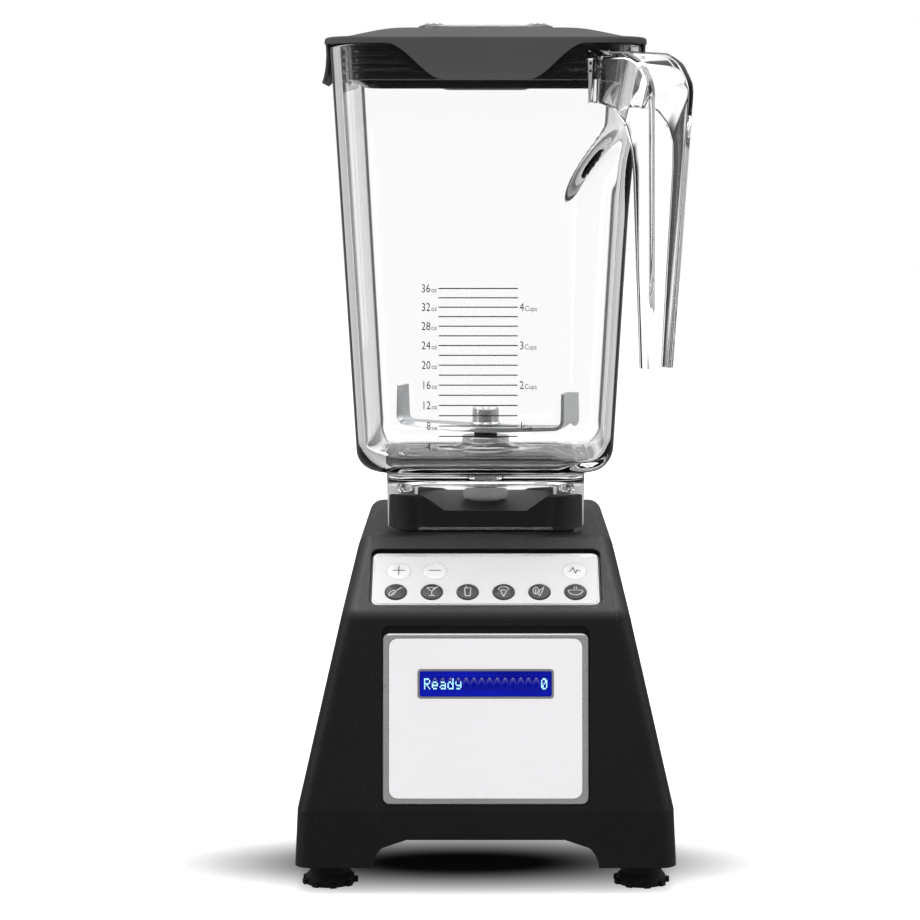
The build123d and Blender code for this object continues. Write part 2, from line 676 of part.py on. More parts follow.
with BuildPart() as bearing_housing:
    with BuildSketch(Plane.XZ):
        with BuildLine():
            Polyline((0, 176.6), (9.0, 176.6), (9.0, JAR_FLOOR), (16.6, JAR_FLOOR), (16.65, 190.4))
            ThreePointArc((16.65, 190.4), (15.4, 192.6), (12.4, 194.4))
            Polyline((12.4, 194.4), (11.5, 195.6), (11.5, 197.6), (10.6, 198.5), (0, 198.5), (0, 176.6))
        make_face()
    revolve(axis=Axis.Z)
    with BuildSketch(Plane.XY.offset(175)):
        Circle(7.0)
    extrude(amount=20.0, mode=Mode.SUBTRACT)
    with BuildSketch(Plane.XY.offset(190)):
        Circle(5.7)
    extrude(amount=12, mode=Mode.SUBTRACT)

with BuildPart() as jar_bearings:
    for low in (178.5, 189.5):
        ring(Plane.XY.offset(low), 7.0, SHAFT_R + 0.03, 5)

with BuildPart() as shaft_seal:
    ring(Plane.XY.offset(195.6), 5.65, SHAFT_R + 0.04, 5.0)

with BuildPart() as retaining_nut:
    with BuildSketch(Plane.XZ):
        with BuildLine():
            Polyline((9.0, 177.6), (10.2, 177.6), (10.9, 179.2), (10.9, JAR_LOW), (9.0, JAR_LOW),
                     close=True)
        make_face()
    revolve(axis=Axis.Z)

# ---------- blade ----------
with BuildPart() as blade_shaft:
    with BuildSketch(Plane.XY.offset(170)):
        Circle(SHAFT_R)
    extrude(amount=39)
    with BuildSketch(Plane.XY.offset(169.0)):
        Circle(4.9)
        with PolarLocations(4.9, 12):
            Rectangle(0.9, 0.9)
    extrude(amount=7.3)

along_blade = Vector(cos(radians(BLADE_TURN)), sin(radians(BLADE_TURN)), 0)
across_blade = Vector(sin(radians(BLADE_TURN)), -cos(radians(BLADE_TURN)), 0)
blade_arm = Plane(origin=(0, 0, BLADE_Z), x_dir=along_blade, z_dir=(0, 0, 1))
blade_side = Plane(origin=(0, 0, BLADE_Z), x_dir=along_blade, z_dir=across_blade)
with BuildPart() as blade:
    with BuildSketch(blade_side):
        with BuildLine():
            Polyline((-BLADE_TIP, 21), (-BLADE_TIP, 5.5))
            ThreePointArc((-BLADE_TIP, 5.5), (-43.6, 3.0), (-41.2, 1.8))
            Polyline((-41.2, 1.8), (-12, 0), (12, 0), (41.2, 1.8))
            ThreePointArc((41.2, 1.8), (43.6, 3.0), (BLADE_TIP, 5.5))
            Polyline((BLADE_TIP, 5.5), (BLADE_TIP, 19.5), (BLADE_TIP - 2.2, 19.5), (BLADE_TIP - 2.2, 6.8))
            ThreePointArc((BLADE_TIP - 2.2, 6.8), (41.8, 5.2), (40.4, 4.4))
            Polyline((40.4, 4.4), (12, BLADE_T), (-12, BLADE_T), (-40.4, 4.4))
            ThreePointArc((-40.4, 4.4), (-41.8, 5.2), (-BLADE_TIP + 2.2, 6.8))
            Polyline((-BLADE_TIP + 2.2, 6.8), (-BLADE_TIP + 2.2, 21), (-BLADE_TIP, 21))
        make_face()
    extrude(amount=14, both=True)
    with BuildSketch(blade_arm):
        Circle(12.5)
        with BuildLine():
            Polyline((-46, -7.5), (-10, -11), (10, -10), (46, -6.0))
            Polyline((46, -6.0), (46, 7.5), (10, 11), (-10, 10), (-46, 6.0), (-46, -7.5))
        make_face()
    extrude(amount=30, mode=Mode.INTERSECT)
    with BuildSketch(blade_arm):
        Circle(SHAFT_R)
    extrude(amount=8, mode=Mode.SUBTRACT)

with BuildPart() as blade_cap:
    with BuildSketch(Plane.XY.offset(BLADE_Z + BLADE_T)):
        Circle(6.5)
    extrude(amount=9.2)
    fillet(blade_cap.edges().sort_by(Axis.Z)[-1], 1.5)
    with BuildSketch(Plane.XY.offset(BLADE_Z + BLADE_T)):
        Circle(SHAFT_R)
    extrude(amount=5.4, mode=Mode.SUBTRACT)

# ---------- lid ----------
LID_LOW = JAR_RIM + GAP
with BuildPart() as lid_tab:
    with BuildSketch(Plane.YZ):
        with BuildLine():
            Polyline((-70, 387.0), (-73.6, 386.6), (-74.2, 379.5), (-75.4, 373.0), (-77.6, 368.6))
            Polyline((-77.6, 368.6), (-75.6, 367.9), (-73.2, 372.6), (-72.2, 379.5))
            Polyline((-72.2, 379.5), (-72.2, LID_LOW), (-70, LID_LOW), (-70, 387.0))
        make_face()
    extrude(amount=48, both=True)
    with BuildSketch(Plane.XZ):
        with BuildLine():
            Spline((-49, 385.5), (-42, 383.6), (-36, 376), (-26, 369.2), tangents=((1, 0), (1, -0.3)))
            Polyline((-26, 369.2), (-20, 367), (20, 367), (26, 369.2))
            Spline((26, 369.2), (36, 376), (42, 383.6), (49, 385.5), tangents=((1, 0.3), (1, 0)))
            Polyline((49, 385.5), (49, 390), (-49, 390), (-49, 385.5))
        make_face()
    extrude(amount=90, mode=Mode.INTERSECT)

with BuildPart() as lid_cover:
    with BuildSketch(Plane.XY.offset(LID_LOW)):
        RectangleRounded(2 * LID_HALF, 2 * LID_HALF, 22)
    extrude(amount=2.4)
    with BuildSketch(Plane.XY.offset(LID_LOW + 2.4)):
        RectangleRounded(2 * LID_HALF, 2 * LID_HALF, 22)
    with BuildSketch(Plane.XY.offset(PLATEAU_Z)):
        RectangleRounded(2 * PLATEAU_HALF, 2 * PLATEAU_HALF, 12)
    loft(ruled=True)
    with BuildSketch(Plane.XY.offset(LID_LOW)):
        RectangleRounded(2 * 60, 2 * 60, 13)
    with BuildSketch(Plane.XY.offset(PLATEAU_Z - 2.8)):
        RectangleRounded(2 * 37, 2 * 37, 9)
    loft(ruled=True, mode=Mode.SUBTRACT)
    with BuildSketch(Plane.XY.offset(LID_LOW)):
        RectangleRounded(2 * 27, 2 * 27, 7)
    extrude(amount=20, mode=Mode.SUBTRACT)
    with PolarLocations(0, 4):
        add(lid_tab.part)

with BuildPart() as lid_plug:
    with BuildSketch(Plane.XY.offset(PLUG_LOW)):
        RectangleRounded(2 * PLUG_HALF, 2 * PLUG_HALF, 14.6)
        RectangleRounded(2 * PLUG_HALF - 6.4, 2 * PLUG_HALF - 6.4, 11.4, mode=Mode.SUBTRACT)
    extrude(amount=LID_LOW - PLUG_LOW)
    for low in (371.2, 374.6, 378.0, 381.4):
        with BuildSketch(Plane.XY.offset(low)):
            RectangleRounded(2 * PLUG_HALF + 3.0, 2 * PLUG_HALF + 3.0, 16.1)
            RectangleRounded(2 * PLUG_HALF - 1, 2 * PLUG_HALF - 1, 14.1, mode=Mode.SUBTRACT)
        extrude(amount=1.4)

with BuildPart() as vent_cap:
    with BuildSketch(Plane.XY.offset(PLATEAU_Z + GAP)):
        RectangleRounded(63.2, 63.2, 9)
    extrude(amount=1.4)
    with BuildSketch(Plane.XY.offset(PLATEAU_Z - 8)):
        RectangleRounded(53.2, 53.2, 6.6)
        RectangleRounded(48.8, 48.8, 4.6, mode=Mode.SUBTRACT)
    extrude(amount=8 + GAP)
    # finger grips at the two ends
    for side in (-1, 1):
        with Locations((side * 24.6, 0, PLATEAU_Z + GAP + 1.4 + 0.9)):
            Box(12, 44, 1.8)
        with Locations((side * 24.6, 0, PLATEAU_Z + GAP + 1.4 + 1.3)):
            Box(9, 41, 1.8, mode=Mode.SUBTRACT)

# ---------- write the pieces ----------
pieces = {
    "housing": housing, "base_plate": base_plate, "base_screws": base_screws, "feet": feet,
    "jar_seat": jar_seat, "socket_seal": socket_seal, "control_bezel": control_bezel,
    "keypad_overlay": keypad_overlay, "keypad_board": keypad_board, "key_switches": key_switches,
    "display_bezel": display_bezel, "display_panel": display_panel, "lcd_frame": lcd_frame,
    "lcd_window": lcd_window, "lcd_module": lcd_module, "control_board": control_board,
    "heat_sink": heat_sink, "switch_frame": switch_frame, "power_rocker": power_rocker,
    "cord_gland": cord_gland, "stator_core": stator_core, "field_coils": field_coils,
    "upper_bracket": upper_bracket, "lower_bracket": lower_bracket, "motor_bearings": motor_bearings,
    "motor_tie_bolts": motor_tie_bolts, "motor_spacers": motor_spacers,
    "motor_mounts": motor_mounts, "motor_screws": motor_screws, "motor_frame": motor_frame,
    "brush_holders": brush_holders, "carbon_brushes": carbon_brushes, "brush_springs": brush_springs,
    "motor_shaft": motor_shaft, "armature_core": armature_core, "armature_windings": armature_windings,
    "commutator": commutator, "cooling_fan": cooling_fan, "drive_socket": drive_socket,
    "jar_body": jar_body, "jar_handle": jar_handle, "bearing_housing": bearing_housing,
    "jar_bearings": jar_bearings, "shaft_seal": shaft_seal, "retaining_nut": retaining_nut,
    "blade_shaft": blade_shaft, "blade": blade, "blade_cap": blade_cap,
    "lid_cover": lid_cover, "lid_plug": lid_plug, "vent_cap": vent_cap,
}
pieces.update(buttons)

os.makedirs("parts", exist_ok=True)
for name, piece in pieces.items():
    piece.part.label = name
    export_step(piece.part, f"parts/{name}.step")
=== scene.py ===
# %% [markdown]
# # A countertop blender, built round its CAD frame
# The frame gives every place and size. This file adds what the eye looks for: the clear jar, the soft
# lid, the forged blade, the printed marks and the finish of each plastic and metal.

# %% Load the frame
import math

import bpy
import numpy as np
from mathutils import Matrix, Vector


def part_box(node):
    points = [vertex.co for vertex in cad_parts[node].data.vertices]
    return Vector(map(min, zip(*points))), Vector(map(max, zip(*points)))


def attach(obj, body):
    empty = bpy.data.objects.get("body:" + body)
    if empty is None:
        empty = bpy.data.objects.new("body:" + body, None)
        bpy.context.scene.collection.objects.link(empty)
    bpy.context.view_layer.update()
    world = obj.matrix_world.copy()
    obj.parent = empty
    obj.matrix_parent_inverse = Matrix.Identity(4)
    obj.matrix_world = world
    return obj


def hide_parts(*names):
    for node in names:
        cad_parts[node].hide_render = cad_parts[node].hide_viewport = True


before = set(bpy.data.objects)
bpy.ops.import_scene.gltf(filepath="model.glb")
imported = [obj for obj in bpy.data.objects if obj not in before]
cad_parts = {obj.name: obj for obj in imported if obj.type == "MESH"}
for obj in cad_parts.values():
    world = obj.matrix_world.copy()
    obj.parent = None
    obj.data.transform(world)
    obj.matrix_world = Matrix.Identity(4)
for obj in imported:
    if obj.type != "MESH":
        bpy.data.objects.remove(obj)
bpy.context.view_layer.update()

# %% [markdown]
# ## Units, colours and nodes
# The shapes below are worked out in millimetres, because a maker thinks in them, and are turned to
# metres once, where a mesh is made. Colours are written as sRGB hex, as a paint chart gives them, and
# one function turns them to the linear values that a shader wants.

# %% Units, colours and nodes
MM = 0.001


def srgb(hex_colour, alpha=1.0):
    """Linear RGBA of an sRGB hex colour: each channel goes through the sRGB curve backwards."""
    channels = np.array([int(hex_colour[i:i + 2], 16) for i in (0, 2, 4)]) / 255
    linear = np.where(channels <= 0.04045, channels / 12.92, ((channels + 0.055) / 1.055) ** 2.4)
    return (*linear.tolist(), alpha)


def in_mm(box):
    """The lower and the upper corner of a box in metres, in millimetres."""
    return [np.array(corner) / MM for corner in box]


def add_node(tree, kind, inputs=None, **attributes):
    """Adds one node. A value in inputs sets a socket, and an output socket in inputs is linked to it."""
    node = tree.nodes.new(kind)
    for key, value in attributes.items():
        setattr(node, key, value)
    for key, value in (inputs or {}).items():
        if isinstance(value, bpy.types.NodeSocket):
            tree.links.new(value, node.inputs[key])
        else:
            node.inputs[key].default_value = value
    return node


def new_material(name, inputs):
    """A material with one Principled shader, and the values of that shader's sockets."""
    material = bpy.data.materials.new(name)
    material.use_nodes = True
    shader = material.node_tree.nodes["Principled BSDF"]
    for key, value in inputs.items():
        shader.inputs[key].default_value = value
    return material, material.node_tree, shader


print("sRGB 808080 is", round(srgb("808080")[0], 3), "in linear light")

# %% [markdown]
# ## The camera
# A long lens a little above the middle of the jar, tipped down a few degrees, is how such a product is
# photographed: the sides stay nearly upright and the deck still shows. The drive axis stands a little
# right of the middle of the picture, which is a lens shift and not a turn.

# %% The camera
CAMERA_DISTANCE, CAMERA_HEIGHT = 1200.0, 328.0
CAMERA_TILT = 6.75                 # degrees below level
LENS, SENSOR = 96.5, 36.0
AXIS_SHIFT = -0.0279               # share of the picture's width

camera_data = bpy.data.cameras.new("camera")
camera_data.lens = LENS
camera_data.sensor_width = SENSOR
camera_data.shift_x = AXIS_SHIFT
camera = bpy.data.objects.new("camera", camera_data)
camera.location = (0, -CAMERA_DISTANCE * MM, CAMERA_HEIGHT * MM)
camera.rotation_euler = (math.radians(90 - CAMERA_TILT), 0, 0)
bpy.context.scene.collection.objects.link(camera)
bpy.context.scene.camera = camera
bpy.context.scene.view_settings.view_transform = "Standard"
print("camera:", LENS, "mm lens,", CAMERA_DISTANCE, "mm from the drive axis")

# %% [markdown]
# ## Surfaces from arrays
# Almost every piece of this blender is a rounded square or a round, carried along a profile. So one
# function rounds the corners of a profile, one gives the rounded square, and one joins rings of points
# into a skin. The rings are whole arrays, and no loop visits a vertex.

# %% Profiles
def rounded(points, radii, steps=6):
    """An outline with its corners rounded. Each corner's arc has its centre where the two sides, moved
    in by the radius, cross, and it runs between the two touching points."""
    points = np.array(points, float)
    radii = np.broadcast_to(np.array(radii, float), len(points))
    out = [points[:1]]
    for before, corner, after, radius in zip(points[:-2], points[1:-1], points[2:], radii[1:-1]):
        into, away = before - corner, after - corner
        into, away = into / np.linalg.norm(into), away / np.linalg.norm(away)
        half_angle = np.arccos(np.clip(into @ away, -1, 1)) / 2
        if radius <= 0 or half_angle > 1.55:
            out.append(corner[None])
            continue
        reach = radius / np.tan(half_angle)
        bisector = (into + away) / np.linalg.norm(into + away)
        centre = corner + bisector * radius / np.sin(half_angle)
        start, end = corner + into * reach - centre, corner + away * reach - centre
        share = np.linspace(0, 1, steps + 1)[:, None]
        sweep = np.pi - 2 * half_angle
        between = np.sin((1 - share) * sweep) * start + np.sin(share * sweep) * end
        out.append(centre + between / np.sin(sweep))
    out.append(points[-1:])
    return np.concatenate(out)


def resampled(path, spacing):
    """The same path with long runs cut up, so that no step is longer than spacing."""
    runs = np.linalg.norm(np.diff(path, axis=0), axis=1)
    counts = np.maximum(1, np.ceil(runs / spacing).astype(int))
    pieces = [a + (b - a) * np.linspace(0, 1, n, endpoint=False)[:, None]
              for a, b, n in zip(path[:-1], path[1:], counts)]
    return np.concatenate(pieces + [path[-1:]])


def turn_angles(around, corner_share=0.5):
    """Angles round the axis, with corner_share of them in the 30 degrees about each corner."""
    quarter = around // 4
    in_corner = int(quarter * corner_share)
    beside = (quarter - in_corner) // 2
    one = np.concatenate([
        np.linspace(-45, -15, in_corner // 2, endpoint=False),
        np.linspace(-15, 15, 2 * beside, endpoint=False),
        np.linspace(15, 45, quarter - in_corner // 2 - 2 * beside, endpoint=False),
    ])
    return np.radians((one[None] + np.arange(4)[:, None] * 90).ravel())


def square_radius(angle, half, corner):
    """Distance from the axis to a rounded square. On a flat side it is half over the cosine of the angle
    from that side's middle, and in a corner it is where the ray meets the corner's circle."""
    off = np.abs((angle + np.pi / 4) % (np.pi / 2) - np.pi / 4)
    centre = half - corner
    flat = half / np.cos(off)
    root = corner ** 2 - centre ** 2 * (1 - np.sin(2 * off))
    bend = centre * (np.cos(off) + np.sin(off)) + np.sqrt(np.maximum(root, 0))
    return np.where(half * np.tan(off) <= centre + 1e-9, flat, bend)


print("a square of half-width 60 with corners of 12 reaches out",
      round(float(square_radius(np.pi / 4, 60, 12)), 1), "mm")

# %% [markdown]
# ## Skins
# A skin joins each ring of points to the next with quads. Its ends are closed with one face each, or it
# runs on from the last ring to the first, as the wall of a cup does. The signed volume tells whether the
# faces point inwards, and if they do they are turned round.

# %% Skins
def ring_quads(rows, around, wrap_rows, wrap_around=True):
    """Index quads between each ring and the next, worked out as one array."""
    row = np.arange(rows if wrap_rows else rows - 1)[:, None]
    column = np.arange(around if wrap_around else around - 1)[None]
    next_row, next_column = (row + 1) % rows, (column + 1) % around
    corners = (row * around + column, row * around + next_column,
               next_row * around + next_column, next_row * around + column)
    return np.stack(np.broadcast_arrays(*corners), -1).reshape(-1, 4)


def signed_volume(points, faces):
    """Six times the volume inside the faces: the sum of each fan triangle's triple product."""
    total = 0.0
    for size in set(map(len, faces)):
        same = np.array([f for f in faces if len(f) == size])
        for k in range(1, size - 1):
            a, b, c = points[same[:, 0]], points[same[:, k]], points[same[:, k + 1]]
            total += np.einsum("ij,ij->i", a, np.cross(b, c)).sum()
    return total


def build_mesh(name, points, faces):
    """A mesh in metres from points in millimetres, with its faces turned outwards."""
    if signed_volume(points, faces) < 0:
        faces = [f[::-1] for f in faces]
    mesh = bpy.data.meshes.new(name)
    mesh.from_pydata((points * MM).tolist(), [], faces)
    mesh.shade_smooth()
    return mesh


print("skin test:", len(ring_quads(2, 4, False)), "quads join two rings of four points")


def skin_parts(rings, wrap_rows=False):
    """Points and faces of rings joined one to the next, with the two end rings closed."""
    rows, around = rings.shape[:2]
    faces = ring_quads(rows, around, wrap_rows).tolist()
    if not wrap_rows:
        faces += [list(range(around))[::-1], list(range((rows - 1) * around, rows * around))]
    return rings.reshape(-1, 3), faces


def joined(*parts):
    """Several closed shapes as one list of points and faces."""
    shift = np.cumsum([0] + [len(p) for p, f in parts[:-1]])
    points = np.concatenate([p for p, f in parts])
    faces = [[i + int(s) for i in face] for (p, f), s in zip(parts, shift) for face in f]
    return points, faces


# %% [markdown]
# ### Pieces and their rings
# Every piece is added the same way: its mesh, its finish, the body it rides on and the CAD nodes that it
# stands for. Most pieces are rings of rounded squares or of circles along a profile.

# %% Pieces and their rings
def add_piece(name, points, faces, material, body, slot, replaces=(), sharp=None):
    """Makes the object, gives it its finish, and says which body it rides and which nodes it stands for."""
    piece = bpy.data.objects.new(name, build_mesh(name, points, faces))
    piece.data.materials.append(material)
    if sharp:
        piece.data.set_sharp_from_angle(angle=math.radians(sharp))
    bpy.context.scene.collection.objects.link(piece)
    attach(piece, body)
    if replaces:
        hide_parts(*replaces)
    print(f"{name}: {len(faces)} faces")
    return piece


def square_rings(path, corners, angles):
    """Rings of rounded squares along a profile of (half-width, height) with a corner radius for each."""
    half, height = path[:, :1], path[:, 1:2]
    radius = square_radius(angles[None], half, np.minimum(np.reshape(corners, (-1, 1)), half))
    return np.stack([radius * np.cos(angles), radius * np.sin(angles),
                     np.broadcast_to(height, radius.shape)], -1)


def round_rings(path, around=96):
    """Rings of circles along a profile of (radius, height)."""
    angles = np.linspace(0, 2 * np.pi, around, endpoint=False)
    return square_rings(path, path[:, 0], angles)


# %% [markdown]
# ## Finishes
# A moulded plastic is never one flat colour: the steel mould was etched or spark-eroded, so the surface
# has a grain that breaks up the highlight, and the gloss differs a little from place to place. One
# function makes such a finish from a grain size in millimetres. The same function makes metals, with the
# grain drawn out along one axis where the metal was brushed, ground or rolled.

# %% One finish
NOISE_LOW, NOISE_HIGH = 0.32, 0.68        # the range that a noise really covers


def grained(name, inputs, grain_mm, relief_mm, gloss=(0.4, 0.5), shade=0.0, stretch=(1, 1, 1),
            cloud_mm=40.0):
    """A surface with a noise of grain_mm across, in object space. It lifts the surface by relief_mm and
    spreads the roughness over gloss. A second, larger noise of cloud_mm lightens and darkens the base
    colour by the share shade."""
    material, tree, shader = new_material(name, inputs)
    place = add_node(tree, "ShaderNodeTexCoord")
    drawn = add_node(tree, "ShaderNodeMapping", {"Vector": place.outputs["Object"], "Scale": stretch})
    grain = add_node(tree, "ShaderNodeTexNoise", {
        "Vector": drawn.outputs[0], "Scale": 1 / (grain_mm * MM), "Detail": 2.0, "Roughness": 0.6})
    lift = add_node(tree, "ShaderNodeBump", {
        "Height": grain.outputs["Fac"], "Strength": 1.0, "Distance": relief_mm * MM})
    spread = add_node(tree, "ShaderNodeMapRange", {
        "Value": grain.outputs["Fac"], "From Min": NOISE_LOW, "From Max": NOISE_HIGH,
        "To Min": gloss[0], "To Max": gloss[1]})
    tree.links.new(lift.outputs[0], shader.inputs["Normal"])
    tree.links.new(spread.outputs[0], shader.inputs["Roughness"])
    if shade:
        cloud = add_node(tree, "ShaderNodeTexNoise", {
            "Vector": place.outputs["Object"], "Scale": 1 / (cloud_mm * MM), "Detail": 3.0})
        base = np.array(inputs["Base Color"])
        ramp = add_node(tree, "ShaderNodeValToRGB", {"Fac": cloud.outputs["Fac"]})
        ramp.color_ramp.elements[0].position = NOISE_LOW
        ramp.color_ramp.elements[1].position = NOISE_HIGH
        ramp.color_ramp.elements[0].color = (*np.clip(base[:3] * (1 - shade), 0, 1), 1)
        ramp.color_ramp.elements[1].color = (*np.clip(base[:3] * (1 + shade), 0, 1), 1)
        tree.links.new(ramp.outputs[0], shader.inputs["Base Color"])
    return material


def banded(name, inputs, pitch_mm, relief_mm, axis, gloss):
    """A metal made of layers or turns: straight bands of pitch_mm along one axis lift the surface."""
    material, tree, shader = new_material(name, {**inputs, "Roughness": gloss})
    place = add_node(tree, "ShaderNodeTexCoord")
    # a wave texture makes one band in 2 pi / 20 units at a scale of 1
    bands = add_node(tree, "ShaderNodeTexWave", {
        "Vector": place.outputs["Object"], "Scale": 2 * math.pi / 20 / (pitch_mm * MM)},
        bands_direction=axis)
    lift = add_node(tree, "ShaderNodeBump", {
        "Height": bands.outputs["Fac"], "Strength": 1.0, "Distance": relief_mm * MM})
    tree.links.new(lift.outputs[0], shader.inputs["Normal"])
    return material


def colour(hex_colour, **more):
    """Socket values for a base colour, with any others."""
    return {"Base Color": srgb(hex_colour), **{k.replace("_", " "): v for k, v in more.items()}}


print("a noise is taken to run from", NOISE_LOW, "to", NOISE_HIGH)


# %% [markdown]
# ### Plastics and rubbers of this blender
# The housing is a black polycarbonate blend from a spark-eroded mould. The real grain is about 0.2 mm
# across, too fine to show, so it is drawn at about a millimetre. The lid is a satin elastomer, whose
# thin haze makes it greyer than the housing where it faces up. The key sheet and the display plate are
# white, printed from behind, so they are smooth and even.

# %% Plastics and rubbers
shell_black = grained("abs_pc_black_spark_eroded", colour("131313"), 0.9, 0.055, (0.40, 0.56), 0.10)
seat_black = grained("nylon_black_coarse_eroded", colour("0d0d0d"), 0.9, 0.05, (0.42, 0.60), 0.10)
floor_black = grained("polypropylene_black_moulded", colour("141414"), 1.5, 0.04, (0.45, 0.6), 0.1)
foot_rubber = grained("rubber_black_matt", colour("0b0b0b"), 1.2, 0.08, (0.6, 0.8), 0.15)
seal_rubber = grained("nitrile_rubber_black", colour("0a0a0a"), 1.0, 0.03, (0.35, 0.5), 0.1)
lid_rubber = grained("elastomer_lid_satin", {**colour("474847"), "Specular IOR Level": 0.14},
                     1.0, 0.02, (0.5, 0.6), 0.05)
plug_rubber = grained("elastomer_plug_glossy", colour("0a0a0a"), 2.0, 0.02, (0.16, 0.26), 0.1)
switch_black = grained("nylon_black_satin", colour("0e0e0e"), 0.9, 0.03, (0.3, 0.42), 0.1)
sheet_white = grained("polyester_key_sheet_white", colour("f3f2f4"), 0.8, 0.006, (0.36, 0.44), 0.01)
plate_white = grained("acrylic_plate_white", colour("eae8ea"), 3.0, 0.004, (0.16, 0.2), 0.01)
key_white = grained("silicone_key_white_coated", colour("f6f5f7"), 2.0, 0.004, (0.2, 0.3), 0.01)
key_black = grained("silicone_key_black_coated", colour("222324"), 0.7, 0.01, (0.28, 0.4), 0.1)
ink_black = grained("screen_ink_black", colour("101113"), 0.4, 0.006, (0.5, 0.65), 0.1)
ink_grey = grained("pad_ink_dark_grey", colour("3a3b3e"), 0.4, 0.004, (0.45, 0.6), 0.1)
ink_white = grained("pad_ink_pale_grey", colour("dadcdd"), 0.4, 0.004, (0.45, 0.6), 0.05)
socket_white = grained("acetal_white_moulded", colour("efeeec"), 1.2, 0.01, (0.28, 0.38), 0.02)
fan_plastic = grained("nylon_glass_filled_grey", colour("a3a49c"), 1.0, 0.05, (0.5, 0.65), 0.1)
lcd_grey = grained("abs_grey_satin", colour("7c7d7f"), 0.8, 0.01, (0.35, 0.45), 0.04)
board_green = grained("glass_epoxy_green_mask", colour("1c5a34"), 1.6, 0.02, (0.3, 0.4), 0.25, cloud_mm=6)
print("plastics and rubbers:", len(bpy.data.materials), "materials so far")

# %% [markdown]
# ### Metals
# The bezels are plastic with a silver lacquer: fine flakes, a soft metal sheen. The blade is cold-forged
# stainless steel, ground along its length and then polished. Inside, the stator is a stack of 0.5 mm
# steel sheets, and the windings are enamelled copper wire, drawn here a little coarser than they are.

# %% Metals
bezel_silver = grained("silver_lacquer_on_abs", colour("bcbec0", Metallic=0.55), 0.5, 0.008,
                       (0.26, 0.34), 0.05)
blade_steel = grained("forged_stainless_ground", colour("d4d6d8", Metallic=0.85), 0.6, 0.012, (0.2, 0.32),
                      0.04, stretch=(1, 8, 8))
polished_steel = grained("stainless_turned_polished", colour("dadbdc", Metallic=0.85), 0.5, 0.008,
                         (0.16, 0.28), 0.04, stretch=(1, 1, 14))
screw_steel = grained("zinc_plated_steel", colour("b4b6b8", Metallic=1.0), 0.6, 0.02, (0.25, 0.4), 0.1)
bearing_steel = grained("bearing_steel_ground", colour("c2c4c6", Metallic=1.0), 0.4, 0.006,
                        (0.12, 0.22), 0.05)
sink_aluminium = grained("aluminium_extruded", colour("c6c9cb", Metallic=1.0), 0.5, 0.02, (0.3, 0.42),
                         0.06, stretch=(6, 6, 0.4))
cast_bracket = grained("aluminium_die_cast", colour("a2a5a8", Metallic=1.0), 1.2, 0.10, (0.42, 0.58), 0.12)
brush_brass = grained("brass_pressed", colour("c9a35c", Metallic=1.0), 1.0, 0.02, (0.22, 0.35), 0.1)
brush_carbon = grained("carbon_graphite_pressed", colour("242424", Metallic=0.2), 0.5, 0.05,
                       (0.5, 0.7), 0.2)
lamination_steel = banded("steel_sheet_stack", colour("6d7074", Metallic=1.0), 1.0, 0.12, "Z", 0.42)
copper_winding = banded("enamelled_copper_wire", colour("b4602c", Metallic=0.9), 1.2, 0.25, "Z", 0.3)
print("with the metals:", len(bpy.data.materials), "materials")

# %% [markdown]
# ### Clear plastics
# The jar is moulded from clear copolyester, a little denser to light than window glass. It has no
# colour of its own, but a long way through it takes a little light, which is why the edges of such a
# jar are darker than its walls. So the shader is a smooth one that transmits, with a thin absorbing
# volume inside the wall. Its gloss differs by a hair from place to place, as on a washed jar.

# %% Clear plastics
COPOLYESTER_IOR = 1.57
FLOW_MM, FLOW_RELIEF_MM = 25.0, 0.004   # the faint waves that a clear plastic's flow leaves


def clear_plastic(name, gloss, density, tint):
    """A transmitting surface over a weakly absorbing volume. Density is per metre."""
    material = grained(name, {
        "Base Color": srgb("ffffff"), "IOR": COPOLYESTER_IOR, "Transmission Weight": 1.0,
    }, FLOW_MM, FLOW_RELIEF_MM, gloss)
    tree = material.node_tree
    output = next(n for n in tree.nodes if n.type == "OUTPUT_MATERIAL")
    volume = add_node(tree, "ShaderNodeVolumeAbsorption", {"Color": srgb(tint), "Density": density})
    tree.links.new(volume.outputs[0], output.inputs["Volume"])
    return material


copolyester = clear_plastic("clear_copolyester_polished", (0.008, 0.02), 7.0, "b9bcbe")
cap_plastic = clear_plastic("clear_cap_plastic", (0.04, 0.08), 10.0, "a8acae")
print("clear plastics bend light by", COPOLYESTER_IOR)

# %% [markdown]
# ### Which piece has which finish
# The nodes whose shape needs no more work keep their mesh from the frame and take their finish here.

# %% Finishes on the frame's own pieces
finish_of = {
    shell_black: ["housing"],
    seat_black: ["jar_seat"],
    floor_black: ["base_plate"],
    foot_rubber: ["feet", "motor_mounts"],
    seal_rubber: ["socket_seal", "shaft_seal", "cord_gland"],
    screw_steel: ["base_screws", "motor_tie_bolts", "motor_spacers", "motor_screws", "motor_frame"],
    bezel_silver: ["control_bezel", "display_bezel"],
    sheet_white: ["keypad_overlay"],
    plate_white: ["display_panel"],
    lcd_grey: ["lcd_frame", "lcd_module"],
    board_green: ["keypad_board", "control_board"],
    switch_black: ["key_switches", "switch_frame", "power_rocker", "brush_holders"],
    sink_aluminium: ["heat_sink"],
    lamination_steel: ["stator_core", "armature_core"],
    copper_winding: ["field_coils", "armature_windings", "commutator"],
    cast_bracket: ["upper_bracket", "lower_bracket"],
    bearing_steel: ["motor_bearings", "jar_bearings", "motor_shaft", "blade_shaft"],
    brush_carbon: ["carbon_brushes"],
    brush_brass: ["brush_springs"],
    fan_plastic: ["cooling_fan"],
    socket_white: ["drive_socket", "retaining_nut"],
    polished_steel: ["bearing_housing", "blade_cap"],
}
for finish, nodes in finish_of.items():
    for node in nodes:
        for slot in bpy.data.objects[node].material_slots:
            slot.material = finish
